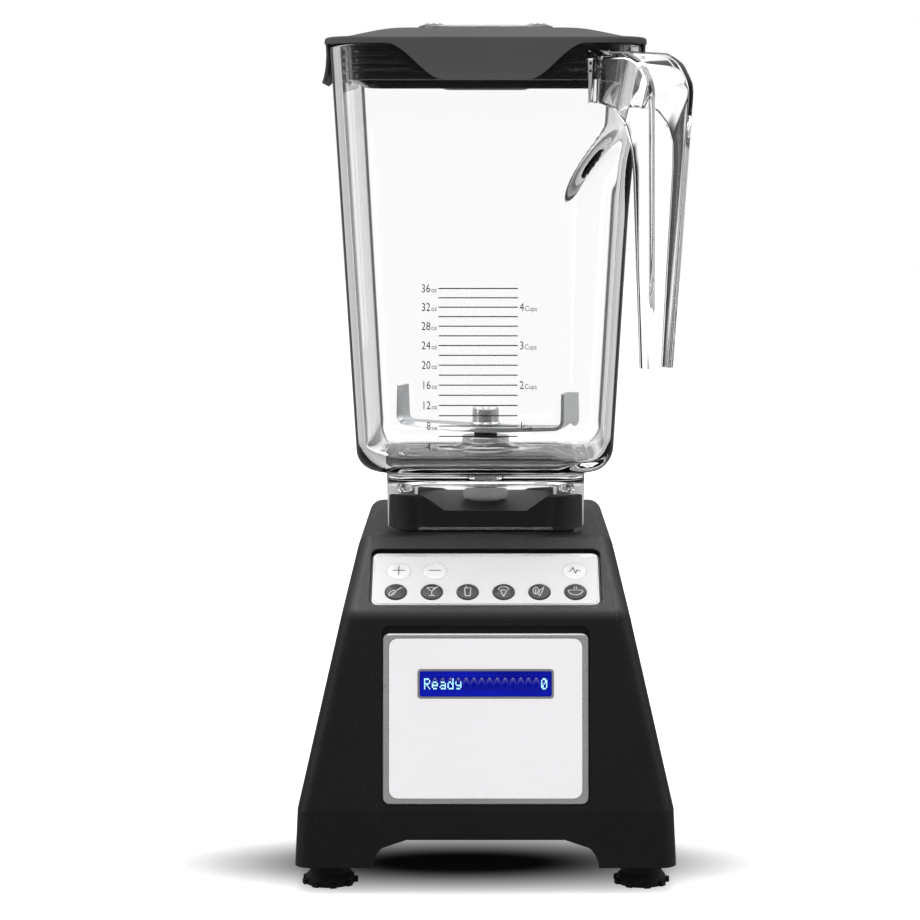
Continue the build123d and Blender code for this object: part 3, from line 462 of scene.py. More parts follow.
print("finished:", sum(map(len, finish_of.values())), "pieces of the frame")
# %% [markdown]
# ## The jar
# The jar is one moulding: a drafted square cup, a skirt below it that drops over the seat, and a fifth
# side where one corner is cut flat. Both walls are one closed surface. It starts at the hole for the
# bearing, runs under the floor, down and up the skirt, up the outside, over the rim, down the inside and
# back along the floor to the hole. The cut corner is made afterwards: each point further out than the
# flat side is drawn in to it with a smooth minimum, which leaves a soft edge.

# %% The jar's walls
jar_low, jar_high = in_mm(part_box("jar_body"))
RIM_Z, RIM_HALF = jar_high[2], jar_high[0]
SKIRT_Z = jar_low[2]
FLOOR_UNDER, FLOOR_TOP = 181.0, 188.0
HEEL_Z, HEEL_TOP, FLAT_FLOOR = 185.4, 191.0, 20.0   # the floor is dished: it rises a little to the walls
DRAFT = 0.0562                      # widening of each side for each millimetre up
JAR_WALL = 4.0
SKIRT_HALF, SKIRT_WALL = 46.7, 4.0
BEARING_HOLE = 9.05
AROUND = 360
jar_angles = turn_angles(AROUND, 0.6)


def jar_half(z):
    """Half-width of the outside at a height: a straight draft up to the rim."""
    return RIM_HALF - DRAFT * (RIM_Z - z)


jar_outline = rounded([
    (BEARING_HOLE, FLOOR_UNDER), (SKIRT_HALF - SKIRT_WALL, FLOOR_UNDER),
    (SKIRT_HALF - SKIRT_WALL - 0.3, SKIRT_Z), (SKIRT_HALF, SKIRT_Z), (SKIRT_HALF + 0.3, HEEL_Z),
    (jar_half(HEEL_Z), HEEL_Z), (jar_half(RIM_Z), RIM_Z),
    (jar_half(RIM_Z) - JAR_WALL, RIM_Z), (jar_half(HEEL_TOP) - JAR_WALL, HEEL_TOP), (FLAT_FLOOR, FLOOR_TOP),
    (BEARING_HOLE, FLOOR_TOP), (BEARING_HOLE, FLOOR_UNDER),
], [0, 3, 1.2, 1.2, 2.5, 11, 1.4, 1.4, 10, 6, 0, 0], steps=10)
jar_path = resampled(jar_outline, 2.0)[:-1]
CORNER_AT, CORNER_RADII = [BEARING_HOLE, 30, SKIRT_HALF, 55, 75], [BEARING_HOLE, 15, 13, 16, 20]
jar_corner = np.interp(jar_path[:, 0], CORNER_AT, CORNER_RADII)
inside_wall = np.arange(len(jar_path)) > np.argmax(jar_path[:, 1])
jar_corner = jar_corner - np.where(inside_wall & (jar_path[:, 0] > 30), 3.0, 0.0)
jar_rings = square_rings(jar_path, jar_corner, jar_angles)
print("jar profile:", len(jar_path), "rings of", AROUND, "points")

# %% [markdown]
# ### The fifth side
# One corner of the cup is a flat side, so that food can't turn with the blade for ever. It ends in an
# arched shoulder under the handle. It is cut by drawing points in, because that keeps the wall's even
# thickness: the inner wall is drawn in to a side that lies one wall further in.

# %% The fifth side
FACET_DISTANCE, FACET_LEAN = 68.6, 0.05     # from the axis at the floor, and its draft
SHOULDER_TOP, SHOULDER_ARCH = 328.0, 0.030  # crown of the arch, and its fall with distance squared
SHOULDER_SLOPE, SHOULDER_SOFT = 1.0, 4.0


def smooth_minimum(a, b, width):
    """The smaller of a and b, blended over width where they cross."""
    share = np.clip(0.5 + 0.5 * (b - a) / width, 0, 1)
    return b * (1 - share) + a * share - width * share * (1 - share)


def cut_corner(rings, wall, edge):
    """Draws the corner between +X and -Y in to the flat side. Along the corner's diagonal a point may be
    no further out than the flat side, which runs out again above the arched shoulder. The start of that
    run is softened with the logarithm of one plus an exponential."""
    x, y, z = np.moveaxis(rings, -1, 0)
    out, along = (x - y) / math.sqrt(2), (x + y) / math.sqrt(2)
    arch = SHOULDER_TOP - SHOULDER_ARCH * along ** 2 + wall * 0.6
    rise = SHOULDER_SLOPE * SHOULDER_SOFT * np.log1p(np.exp(np.clip((z - arch) / SHOULDER_SOFT, -30, 30)))
    limit = FACET_DISTANCE + FACET_LEAN * (z - FLOOR_UNDER) - wall + rise
    drawn = np.where(z > FLOOR_UNDER + 0.5, smooth_minimum(out, limit, edge), out)
    shift = (drawn - out) / math.sqrt(2)
    return np.stack([x + shift, y - shift, z], -1)


wall_of_ring = np.where(inside_wall, JAR_WALL, 0.0)[:, None]
jar_rings = cut_corner(jar_rings, wall_of_ring, 5.0)
jar_points, jar_faces = skin_parts(jar_rings, wrap_rows=True)
print("fifth side:", FACET_DISTANCE, "mm from the axis at its foot")

# %% [markdown]
# ## The handle
# The handle stands on the cut corner as a channel that opens towards the jar: one outer strap and two
# webs. Seen from the side it lies between two lines, one along the strap's back and one along the webs'
# lips, with the arch for the fingers between lip and jar. So its section is a U that reaches from the one
# line to the other, carried along both. A boolean union then makes it one moulding with the jar, as it
# is on the bench, and leaves no hidden wall for light to catch on.

# %% The handle
GRIP_FOOT_Z = in_mm(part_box("jar_handle"))[0][2]
GRIP_OUT_FOOT, GRIP_OUT_CORNER, GRIP_CORNER_Z = 114.4, 118.5, 366.0
GRIP_HALF_FOOT, GRIP_HALF_TOP, HANDLE_WALL = 8.2, 15.5, 3.0
HANDLE_STEPS = 120


def along_stations(points, softness, stations, steps):
    """A line through points, sampled so that each falls at its own station, with a share of softness."""
    shares = np.linspace(0, 1, steps)
    sharp = np.stack([np.interp(shares, stations, np.array(points)[:, i]) for i in (0, 1)], -1)
    # three passes of an average of neighbours, full where the softness is one
    for _ in range(3):
        near = np.concatenate([sharp[:1], (sharp[:-2] + sharp[1:-1] + sharp[2:]) / 3, sharp[-1:]])
        weight = np.interp(shares, stations, softness)[:, None]
        sharp = sharp * (1 - weight) + near * weight
    return sharp


strap_back = along_stations(
    [(80, 381.4), (104, 380.0), (112.6, 375.4), (GRIP_OUT_CORNER, GRIP_CORNER_Z),
     (GRIP_OUT_FOOT, GRIP_FOOT_Z)],
    [1, 1, 1, 1, 0], [0, 0.22, 0.30, 0.38, 1], HANDLE_STEPS)
web_lip = along_stations(
    [(80, 357.5), (88, 357), (96.5, 354), (103, 347.5), (106.6, 338), (107.5, 326), (106.2, GRIP_FOOT_Z)],
    [1, 1, 1, 1, 1, 1, 0], [0, 0.14, 0.22, 0.30, 0.38, 0.46, 1], HANDLE_STEPS)
depth_line = web_lip - strap_back
depth = np.linalg.norm(depth_line, axis=1)
inward = depth_line / depth[:, None]
half_width = np.interp(strap_back[:, 1], [GRIP_FOOT_Z, GRIP_CORNER_Z], [GRIP_HALF_FOOT, GRIP_HALF_TOP])


def arc(middle, radius, first, last, steps=6):
    """Points of an arc in a plane of two coordinates, between two angles in degrees."""
    turn = np.radians(np.linspace(first, last, steps))
    return np.stack([middle[0] + radius * np.cos(turn), middle[1] + radius * np.sin(turn)], -1)


def channel_section(half, deep, wall):
    """Closed outline of a U: across the strap, and in from its back. It runs round the back from lip to
    lip and then round the inside of the channel."""
    back, inner, lip = 2.4, 1.4, wall / 2
    return np.concatenate([
        arc((-half + lip, deep - lip), lip, 90, 180), arc((-half + back, back), back, 180, 270),
        arc((half - back, back), back, 270, 360), arc((half - lip, deep - lip), lip, 0, 90),
        arc((half - lip, deep - lip), lip, 90, 180),
        arc((half - wall - inner, wall + inner), inner, 0, -90),
        arc((-half + wall + inner, wall + inner), inner, 270, 180),
        arc((-half + lip, deep - lip), lip, 0, 90),
    ])


sections = np.stack([channel_section(h, d, HANDLE_WALL) for h, d in zip(half_width, depth)])
from_axis = strap_back[:, None, 0] + sections[..., 1] * inward[:, None, 0]
height = strap_back[:, None, 1] + sections[..., 1] * inward[:, None, 1]
DIAGONAL = 1 / math.sqrt(2)
handle_rings = np.stack([(from_axis + sections[..., 0]) * DIAGONAL,
                         (sections[..., 0] - from_axis) * DIAGONAL, height], -1)
handle_points, handle_faces = skin_parts(handle_rings)
print("handle:", len(handle_points), "points")

# %% [markdown]
# ## Lugs in the skirt
# A short lug stands in each corner of the skirt, and rides on the seat's posts. Each is a lathe profile
# turned about a line that points at the drive axis.

# %% Lugs
LUG_RADIUS, LUG_LENGTH, LUG_Z = 2.1, 7.0, 177.6
lug_profile = rounded([(0.01, 0), (LUG_RADIUS, 0), (LUG_RADIUS, LUG_LENGTH), (0.01, LUG_LENGTH)],
                      [0, 0.5, 0.5, 0], 4)
lug_rings = round_rings(lug_profile, 24)
SKIRT_CORNER_REACH = (SKIRT_HALF - 13) * math.sqrt(2) + 13
lugs = []
for quarter in range(4):
    direction = math.radians(45 + 90 * quarter)
    outward = np.array([math.cos(direction), math.sin(direction), 0])
    side = np.array([-outward[1], outward[0], 0])
    across, up, along = np.moveaxis(lug_rings, -1, 0)
    reach = SKIRT_CORNER_REACH - 2.0 - along[..., None]
    placed = outward * reach + side * across[..., None] + np.array([0, 0, 1.0]) * (up[..., None] + LUG_Z)
    lugs.append(skin_parts(placed))
print("lugs:", len(lugs))

# %% [markdown]
# ### One moulding
# Where handle or lug meets the cup there is no wall between them, and a clear jar would show one. So
# they are united with an exact boolean, and the edges that stay sharp are found by their angle.

# %% Jar, handle and lugs as one moulding
jar = add_piece("clear_jar", jar_points, jar_faces, copolyester, "jar", "clear_copolyester",
                ("jar_body", "jar_handle"))


def union_with(target, tools):
    """Adds closed shapes to an object with exact booleans, and keeps the result as its mesh."""
    for number, (points, faces) in enumerate(tools):
        tool = bpy.data.objects.new(f"tool_{number}", build_mesh(f"tool_{number}", points, faces))
        tool.data.materials.append(target.data.materials[0])
        bpy.context.scene.collection.objects.link(tool)
        union = target.modifiers.new("union", "BOOLEAN")
        union.operation, union.solver, union.object = "UNION", "EXACT", tool
        evaluated = target.evaluated_get(bpy.context.evaluated_depsgraph_get())
        one_mesh = bpy.data.meshes.new_from_object(evaluated)
        target.modifiers.clear()
        target.data = one_mesh
        bpy.data.objects.remove(tool)


union_with(jar, [(handle_points, handle_faces), joined(*lugs)])
jar.data.shade_smooth()
jar.data.set_sharp_from_angle(angle=math.radians(50))
print("jar and handle:", len(jar.data.polygons), "faces")
# %% [markdown]
# ## The lid
# The lid is a soft moulded plate with a sloping top, a hole for the vent cap, and a skirt. The skirt is
# short at the corners and long in the middle of each side, where it makes a lifting tab that flares
# outwards. Its lower edge is one smooth wave round the lid. The tab's depth is a smoothstep of the place
# along the side, so the same skin serves for edge and tab.

# %% The lid
LID_HALF, LID_CORNER = 74.0, 22.0
PLATEAU_HALF, PLATEAU_Z = 41.0, 392.8
VENT_HALF = 27.0
EDGE_Z, UNDER_Z = 386.6, RIM_Z + 0.3
TAB_LOW, CORNER_LOW = 368.0, 384.6
TAB_FULL, TAB_END = 18.0, 46.0        # from a side's middle: where the tab starts to rise, and its end
lid_angles = turn_angles(512, 0.4)
off_side = np.abs((lid_angles + np.pi / 4) % (np.pi / 2) - np.pi / 4)
along_side = LID_HALF * np.tan(off_side)


def smoothstep(value, low, high):
    """Three t squared less two t cubed, where t runs from 0 at low to 1 at high."""
    t = np.clip((value - low) / (high - low), 0, 1)
    return t * t * (3 - 2 * t)


tab_edge = TAB_LOW + (CORNER_LOW - TAB_LOW) * smoothstep(along_side, TAB_FULL, TAB_END)
slope_half = np.linspace(PLATEAU_HALF + 1, LID_HALF - 5, 16)
slope_z = PLATEAU_Z - (PLATEAU_Z - EDGE_Z - 0.9) * smoothstep(slope_half, PLATEAU_HALF - 1, LID_HALF - 4)
top_path = np.concatenate([
    [(VENT_HALF, PLATEAU_Z - 2.4), (VENT_HALF, PLATEAU_Z - 0.4), (VENT_HALF + 0.4, PLATEAU_Z)],
    np.stack([slope_half, slope_z], -1),
    arc((LID_HALF - 1.6, EDGE_Z - 0.8), 1.6, 90, 0, 6),
])
under_path = np.array([(LID_HALF - 3, UNDER_Z), (60.5, UNDER_Z), (59.5, UNDER_Z + 0.6),
                       (38, PLATEAU_Z - 3.4), (VENT_HALF + 0.8, PLATEAU_Z - 3.4)])


# %% [markdown]
# ### The lid's skin
# The rows of the top and of the underside are the same all the way round. The rows of the skirt between
# them come down to the wave, so they share their height out evenly at each angle.

# %% The lid's skin
def fixed_rows(path):
    """Rows of the same half-width and height all the way round."""
    shape = (len(path), len(lid_angles))
    return np.broadcast_to(path[:, :1], shape), np.broadcast_to(path[:, 1:], shape)


SKIRT_ROWS = 14
down = np.linspace(0, 1, SKIRT_ROWS + 1)[1:, None]
skirt_top = EDGE_Z - 0.8
skirt_z = skirt_top + (tab_edge - skirt_top) * down
FLARE_Z = [368.0, 370.5, 375.0, 380.0, skirt_top]
FLARE_OUTER, FLARE_INNER = [77.5, 76.2, 75.0, 74.3, LID_HALF], [75.9, 74.4, 73.2, 72.6, 72.4]
outer_half = np.interp(skirt_z, FLARE_Z, FLARE_OUTER)
inner_z = skirt_z[::-1] + np.linspace(0.35, 0, SKIRT_ROWS)[:, None]
inner_half = np.interp(inner_z, FLARE_Z, FLARE_INNER)
lip_z = tab_edge[None] - 0.35
lip_half = (outer_half[-1:] + inner_half[:1]) / 2
rows = [fixed_rows(top_path), (outer_half, skirt_z), (lip_half, lip_z), (inner_half, inner_z),
        fixed_rows(under_path)]
lid_half = np.concatenate([half for half, z in rows])
lid_z = np.concatenate([z for half, z in rows])
lid_corner = np.clip(LID_CORNER - (LID_HALF - lid_half), 7, 26)
lid_radius = square_radius(lid_angles[None], lid_half, lid_corner)
lid_rings = np.stack([lid_radius * np.cos(lid_angles), lid_radius * np.sin(lid_angles), lid_z], -1)
add_piece("lid_cover_soft", *skin_parts(lid_rings, wrap_rows=True), lid_rubber, "lid", "lid_rubber",
          ("lid_cover",), sharp=45)

# %% [markdown]
# ## The lid's plug
# Under the plate a square ring hangs into the jar, with four soft ribs that seal on the wall. It is a
# closed profile carried round a rounded square. Its surface is glossier, because it was moulded against
# a polished core.

# %% The plug
PLUG_HALF, PLUG_LOW, PLUG_WALL, RIB = 64.6, 368.0, 3.2, 1.5
rib_starts = (381.4, 378.0, 374.6, 371.2)
plug_points = [(PLUG_HALF - PLUG_WALL, UNDER_Z), (PLUG_HALF, UNDER_Z)]
for start in rib_starts:
    plug_points += [(PLUG_HALF, start + 1.6), (PLUG_HALF + RIB, start + 1.3),
                    (PLUG_HALF + RIB, start + 0.2), (PLUG_HALF, start)]
plug_points += [(PLUG_HALF, PLUG_LOW), (PLUG_HALF - PLUG_WALL, PLUG_LOW), (PLUG_HALF - PLUG_WALL, UNDER_Z)]
plug_radii = [0, 0] + [0.4, 0.5, 0.5, 0.4] * len(rib_starts) + [0.9, 0.9, 0]
plug_path = resampled(rounded(plug_points, plug_radii, 3), 2.0)[:-1]
plug_rings = square_rings(plug_path, 14.6 + (plug_path[:, 0] - PLUG_HALF), turn_angles(256, 0.5))
add_piece("lid_plug_ribbed", *skin_parts(plug_rings, wrap_rows=True), plug_rubber, "lid", "plug_rubber",
          ("lid_plug",), sharp=50)

# %% [markdown]
# ## The vent cap
# A clear plate closes the hole in the lid. A neck below it holds it in place, and at two ends a moulded
# grip stands up, cut like glass so that wet fingers can pull it. The grip is a height field: a low
# crown, with small waves along it.

# %% The vent cap
cap_low, cap_high = in_mm(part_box("vent_cap"))
CAP_HALF, CAP_NECK, CAP_PLATE = cap_high[0], 26.4, 1.4
cap_under = PLATEAU_Z + 0.3
cap_path = resampled(rounded([
    (0.01, cap_under), (CAP_NECK - 2.2, cap_under), (CAP_NECK - 2.2, cap_low[2]), (CAP_NECK, cap_low[2]),
    (CAP_NECK, cap_under), (CAP_HALF, cap_under), (CAP_HALF, cap_under + CAP_PLATE),
    (0.01, cap_under + CAP_PLATE)], [0, 0.6, 0.5, 0.5, 0.4, 0.4, 0.6, 0], 4), 2.5)
cap_corner = np.interp(cap_path[:, 0], [0, CAP_NECK, CAP_HALF], [0.01, 5.5, 9.0])
cap_body = skin_parts(square_rings(cap_path, cap_corner, turn_angles(192, 0.5)))
GRIP_LONG, GRIP_BROAD, GRIP_TALL = 44.0, 12.0, cap_high[2] - cap_under - CAP_PLATE
grips = []
for side in (-1, 1):
    u, v = np.meshgrid(np.linspace(-1, 1, 61), np.linspace(-1, 1, 25))
    crown = (1 - np.abs(u) ** 8) * (1 - np.abs(v) ** 6)
    waves = 0.72 + 0.28 * np.cos(u * 11 * np.pi) * np.cos(v * 2 * np.pi)
    top = cap_under + CAP_PLATE + GRIP_TALL * crown * waves
    place_x, place_y = side * 24.6 + v * GRIP_BROAD / 2, u * GRIP_LONG / 2
    upper = np.stack([place_x, place_y, np.maximum(top, cap_under + 0.9)], -1)
    lower = np.stack([place_x, place_y, np.full_like(top, cap_under + 0.6)], -1)
    steps_v, steps_u = u.shape
    sheet_quads = ring_quads(steps_v, steps_u, False, wrap_around=False)
    count = steps_v * steps_u
    index = np.arange(count).reshape(u.shape)
    rim = np.concatenate([index[0, :-1], index[:-1, -1], index[-1, :0:-1], index[:0:-1, 0]])
    wall = np.stack([rim, np.roll(rim, -1), np.roll(rim, -1) + count, rim + count], -1)
    grips.append((np.concatenate([upper.reshape(-1, 3), lower.reshape(-1, 3)]),
                  sheet_quads.tolist() + (sheet_quads + count)[:, ::-1].tolist() + wall[:, ::-1].tolist()))
vent_cap = add_piece("vent_cap_clear", *cap_body, cap_plastic, "vent_cap", "cap_clear", ("vent_cap",))
union_with(vent_cap, [joined(*grips)])
vent_cap.data.shade_smooth()
vent_cap.data.set_sharp_from_angle(angle=math.radians(50))
print("vent cap:", len(vent_cap.data.polygons), "faces")
# %% [markdown]
# ## The blade
# One flat strip of stainless steel is bent twice: it lies low over the hub and turns straight up at both
# tips. The section is a thin lens with one ground bevel, and it is carried along the bent line. The strip
# is widest at the hub and narrows to the tips, and each half has its bevel on the side that leads.

# %% The blade
BLADE_Z, BLADE_THICK, BLADE_TIP, BLADE_RISE = 201.0, 2.6, 44.6, 1.8
BLADE_TURN = -20.0                    # degrees, the rest angle of the blade
WING_LEFT, WING_RIGHT = 21.0, 19.5    # heights of the two upturned tips
middle_line = resampled(rounded([
    (-BLADE_TIP + 1.2, WING_LEFT), (-BLADE_TIP + 1.2, BLADE_RISE + 0.9), (-12, 1.3), (12, 1.3),
    (BLADE_TIP - 1.2, BLADE_RISE + 0.9), (BLADE_TIP - 1.2, WING_RIGHT)], [0, 4.2, 30, 30, 4.2, 0], 12), 0.9)
steps = np.gradient(middle_line, axis=0)
steps /= np.linalg.norm(steps, axis=1)[:, None]
across_strip = np.stack([-steps[:, 1], steps[:, 0]], -1)
travel = middle_line[:, 0]
wide = np.interp(np.abs(travel), [0, 6, 14, BLADE_TIP - 2], [12.4, 11.6, 10.0, 7.0])
wing_rise = np.clip((middle_line[:, 1] - 5) / 15, 0, 1)
wide = wide * (1 - 0.18 * wing_rise)
thick = BLADE_THICK * (1 - 0.35 * np.clip(np.abs(travel) / BLADE_TIP, 0, 1))
leading = np.tanh(travel / 6)         # the ground side: one way on the left half, the other on the right


def strip_section(bevel):
    """Outline of the strip: place across it and share of its thickness. Positive bevel thins the right
    edge over a third of the width, and negative bevel the left edge."""
    right, left = max(bevel, 0), max(-bevel, 0)
    return np.array([
        (-1, -0.5), (1, -0.5), (1, -0.5 + 1.0 - 0.82 * right), (1 - 0.04 - 0.36 * right, 0.5),
        (0.5, 0.5), (-0.5, 0.5), (-1 + 0.04 + 0.36 * left, 0.5), (-1, 0.5 - 0.82 * left)])


outline = np.stack([strip_section(b) for b in leading])
sideways = outline[..., 0] * wide[:, None]
lifted = outline[..., 1] * thick[:, None]
blade_x = middle_line[:, None, 0] + lifted * across_strip[:, None, 0]
blade_z = middle_line[:, None, 1] + lifted * across_strip[:, None, 1] + BLADE_Z
turn = math.radians(BLADE_TURN)
blade_rings = np.stack([blade_x * math.cos(turn) - sideways * math.sin(turn),
                        blade_x * math.sin(turn) + sideways * math.cos(turn), blade_z], -1)
blade = add_piece("blade_forged", *skin_parts(blade_rings), blade_steel, "blade", "blade_steel",
                  ("blade",), sharp=25)
rounding = blade.modifiers.new("soft_edges", "BEVEL")
rounding.width, rounding.segments, rounding.limit_method = 0.25 * MM, 2, "ANGLE"

# %% [markdown]
# ## Bearing housing, cap and nut
# Below the blade stands the turned housing of the bearing, with a flange on the jar's floor and a step
# where the seal sits. A domed cap closes the shaft over the blade, and a nut holds the housing from below.
# All three are lathe profiles: a line of radius and height, turned once round the axis.

# %% Turned pieces
def turned(name, points, radii, material, body, slot, replaces, around=128, spacing=1.5):
    """A closed profile of radius and height, with rounded corners, turned round the drive axis."""
    path = resampled(rounded(points, radii, 5), spacing)[:-1]
    return add_piece(name, *skin_parts(round_rings(path, around), wrap_rows=True), material, body, slot,
                     replaces, sharp=40)


turned("bearing_housing_turned", [
    (7.05, 176.6), (9.0, 176.6), (9.0, FLOOR_TOP), (16.6, FLOOR_TOP), (16.6, 190.2), (15.0, 193.0),
    (12.6, 194.4), (11.5, 195.2), (11.5, 198.5), (5.75, 198.5), (5.75, 195.2), (7.05, 195.2),
    (7.05, 176.6)],
    [0, 0.4, 0, 0.3, 1.2, 1.4, 0.8, 0.6, 0.8, 0.2, 0, 0, 0], polished_steel, "jar", "polished_steel",
    ("bearing_housing",))
CAP_LOW_Z, CAP_TOP_Z = BLADE_Z + BLADE_THICK, 212.8
turned("blade_cap_domed", [
    (4.02, CAP_LOW_Z), (7.2, CAP_LOW_Z), (7.2, CAP_LOW_Z + 1.0), (6.4, CAP_LOW_Z + 1.6), (6.4, CAP_TOP_Z),
    (0.02, CAP_TOP_Z), (0.02, 209.0), (4.02, 209.0), (4.02, CAP_LOW_Z)],
    [0, 0.2, 0.3, 0.4, 1.7, 0, 0, 0, 0], polished_steel, "blade", "polished_steel", ("blade_cap",))
nut_low, nut_high = in_mm(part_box("retaining_nut"))
turned("retaining_nut_flanged", [
    (9.02, nut_low[2]), (10.0, nut_low[2]), (10.9, nut_low[2] + 1.4), (10.9, nut_high[2]),
    (9.02, nut_high[2]), (9.02, nut_low[2])],
    [0, 0.5, 0.6, 0.2, 0, 0], socket_white, "jar", "socket_white", ("retaining_nut",))

# %% [markdown]
# ## Drive socket
# The motor drives the blade through a white acetal socket with twelve teeth inside. Its inner wall is a
# cosine of the angle added to a radius, and its outer wall is a lathe profile, so the one skin has
# both.

# %% The drive socket
SOCKET_LOW, SOCKET_TOP, TEETH, TOOTH = 158.0, 174.5, 12, 0.35
around_socket = np.linspace(0, 2 * np.pi, 288, endpoint=False)
socket_path = resampled(rounded([
    (4.02, SOCKET_LOW), (7.2, SOCKET_LOW), (7.2, 167.5), (10.4, 167.5), (11.15, 169.0), (11.0, 171.6),
    (8.6, SOCKET_TOP), (5.9, SOCKET_TOP), (5.75, 173.6), (5.75, 168.4), (4.02, 166.2), (4.02, SOCKET_LOW)],
    [0, 0.3, 0.3, 0.8, 1.5, 2.5, 0.8, 0.3, 0.3, 0, 0, 0], 5), 1.0)[:-1]
toothed = (np.abs(socket_path[:, 0] - 5.75) < 0.05)[:, None]
socket_radius = socket_path[:, :1] + np.where(toothed, TOOTH * np.cos(TEETH * around_socket)[None], 0)
socket_rings = np.stack([socket_radius * np.cos(around_socket), socket_radius * np.sin(around_socket),
                         np.broadcast_to(socket_path[:, 1:], socket_radius.shape)], -1)
add_piece("drive_socket_toothed", *skin_parts(socket_rings, wrap_rows=True), socket_white, "rotor",
          "socket_white", ("drive_socket",), sharp=35)
# %% [markdown]
# ## The two faces of the base
# The keys lie on a slope and the display on the front. Each face is a plane with a point on it, a
# direction up the face and a normal, so a drawing made flat, in millimetres across and up, is put on the
# face by one function.

# %% The faces
RIDGE_Y, RIDGE_Z, DECK_FRONT, DECK_Z = -94.0, 127.5, -53.0, 157.0
FRONT_Y, BAND_TOP = -108.0, 38.0


def face_through(low, high):
    """A plane along X through two (Y, Z) points: its origin, its upward direction and its normal."""
    up = np.array([0.0, high[0] - low[0], high[1] - low[1]])
    up /= np.linalg.norm(up)
    return np.array([0.0, *low]), up, np.array([0.0, -up[2], up[1]])


key_face = face_through((RIDGE_Y, RIDGE_Z), (DECK_FRONT, DECK_Z))
front_face = face_through((FRONT_Y, BAND_TOP), (RIDGE_Y - 1.2, RIDGE_Z - 3.0))
SLOPE_LENGTH = math.hypot(DECK_FRONT - RIDGE_Y, DECK_Z - RIDGE_Z)


def on_face(face, across, up, out):
    """Points in the frame of drawings on a face: across along X, up the face, and out along its normal."""
    origin, upward, normal = face
    across, up, out = np.broadcast_arrays(across, up, out)
    return (origin + across[..., None] * np.array([1.0, 0, 0]) + up[..., None] * upward
            + out[..., None] * normal)


print("key slope:", round(SLOPE_LENGTH, 1), "mm from ridge to deck")


# %% [markdown]
# ## Keys
# Each key is a coated silicone dome under a clear film: a low crown inside a small step. A radius and an
# angle make it, and its height is a parabola of the radius. The top row is white, with the marks printed
# dark. The lower row is black, with the marks printed pale. Under each dome a flange keeps the key in its
# opening, and a stem reaches down to its spring.

# %% Keys
TOP_ROW, LOW_ROW = SLOPE_LENGTH - 24.3, SLOPE_LENGTH - 37.6
TOP_RADIUS, LOW_RADIUS = 5.45, 4.88
KEY_UNDER, KEY_STEP, KEY_CROWN, KEY_FLANGE = -1.85, 0.05, 0.55, 0.26
STEM_RADIUS, STEM_END = 2.4, -4.4
keys = {
    "speed_up_button": (-40.2, TOP_ROW, TOP_RADIUS, key_white, "key_white"),
    "speed_down_button": (-23.5, TOP_ROW, TOP_RADIUS, key_white, "key_white"),
    "pulse_button": (41.1, TOP_ROW, TOP_RADIUS, key_white, "key_white"),
    "batter_button": (-41.2, LOW_ROW, LOW_RADIUS, key_black, "key_black"),
    "crushed_ice_button": (-24.7, LOW_ROW, LOW_RADIUS, key_black, "key_black"),
    "smoothie_button": (-8.25, LOW_ROW, LOW_RADIUS, key_black, "key_black"),
    "ice_cream_button": (8.25, LOW_ROW, LOW_RADIUS, key_black, "key_black"),
    "whole_juice_button": (24.7, LOW_ROW, LOW_RADIUS, key_black, "key_black"),
    "hot_soup_button": (41.2, LOW_ROW, LOW_RADIUS, key_black, "key_black"),
}


def key_height(radius, edge):
    """Height of a key's top over the face: a parabola that falls from the crown to the step."""
    return KEY_CROWN - (KEY_CROWN - KEY_STEP) * (radius / edge) ** 2


def key_dome(across, up, edge):
    """A dome with a stem and a flange: rings of circles from the stem's end, out, up and over the crown."""
    flange = edge + KEY_FLANGE
    stem_and_flange = [0.02, STEM_RADIUS, STEM_RADIUS, flange - 0.3, flange, flange, edge + 0.06, edge]
    radius = np.concatenate([stem_and_flange, edge * np.linspace(0.985, 0.003, 14)])
    height = np.concatenate([[STEM_END, STEM_END, KEY_UNDER, KEY_UNDER, KEY_UNDER + 0.3, -0.36, -0.30,
                              KEY_STEP - 0.1], key_height(radius[len(stem_and_flange):], edge)])
    angle = np.linspace(0, 2 * np.pi, 96, endpoint=False)
    return on_face(key_face, across + radius[:, None] * np.cos(angle),
                   up + radius[:, None] * np.sin(angle), height[:, None])


for node, (across, up, edge, finish, slot) in keys.items():
    stem = node.replace("_button", "")
    add_piece(f"{stem}_key", *skin_parts(key_dome(across, up, edge)), finish, node, slot, (node,), sharp=50)

# %% [markdown]
# ## Marks on the keys
# Each mark is drawn with a line of even width, as on a signpost. A line's two edges are the line moved
# half the width to each side. It is a layer of ink, and lies on the key's crown, because its height is
# the crown's own parabola.

# %% Lines of ink
INK, INK_GAP, LINE_OF_INK = 0.03, 0.005, 0.45     # its thickness, its lift off the key, and its width


def circle_line(middle, radius_x, radius_y=None, first=0, last=360, steps=33):
    """Points of a circle or an oval, or of an arc of one, between two angles in degrees."""
    turn = np.radians(np.linspace(first, last, steps))
    radius_y = radius_y or radius_x
    return np.stack([middle[0] + radius_x * np.cos(turn), middle[1] + radius_y * np.sin(turn)], -1)


def ink_line(path, width, place):
    """A strip of ink along a path. Its section is a thin rectangle. Place turns flat points and a height
    above the surface into points of the frame."""
    path = resampled(np.array(path, float), 0.4)
    heading = np.gradient(path, axis=0)
    heading /= np.maximum(np.linalg.norm(heading, axis=1), 1e-9)[:, None]
    side = np.stack([-heading[:, 1], heading[:, 0]], -1) * width / 2
    left, right = path + side, path - side
    rings = np.stack([place(left, 0.0), place(right, 0.0), place(right, INK), place(left, INK)], 1)
    return skin_parts(rings)


def on_key(across, up, edge):
    """Places drawings on a key's crown, measured from the key's middle."""
    def place(flat, over):
        radius = np.linalg.norm(flat, axis=-1)
        return on_face(key_face, across + flat[..., 0], up + flat[..., 1],
                       key_height(radius, edge) + over + INK_GAP)
    return place


print("ink:", INK, "mm thick")

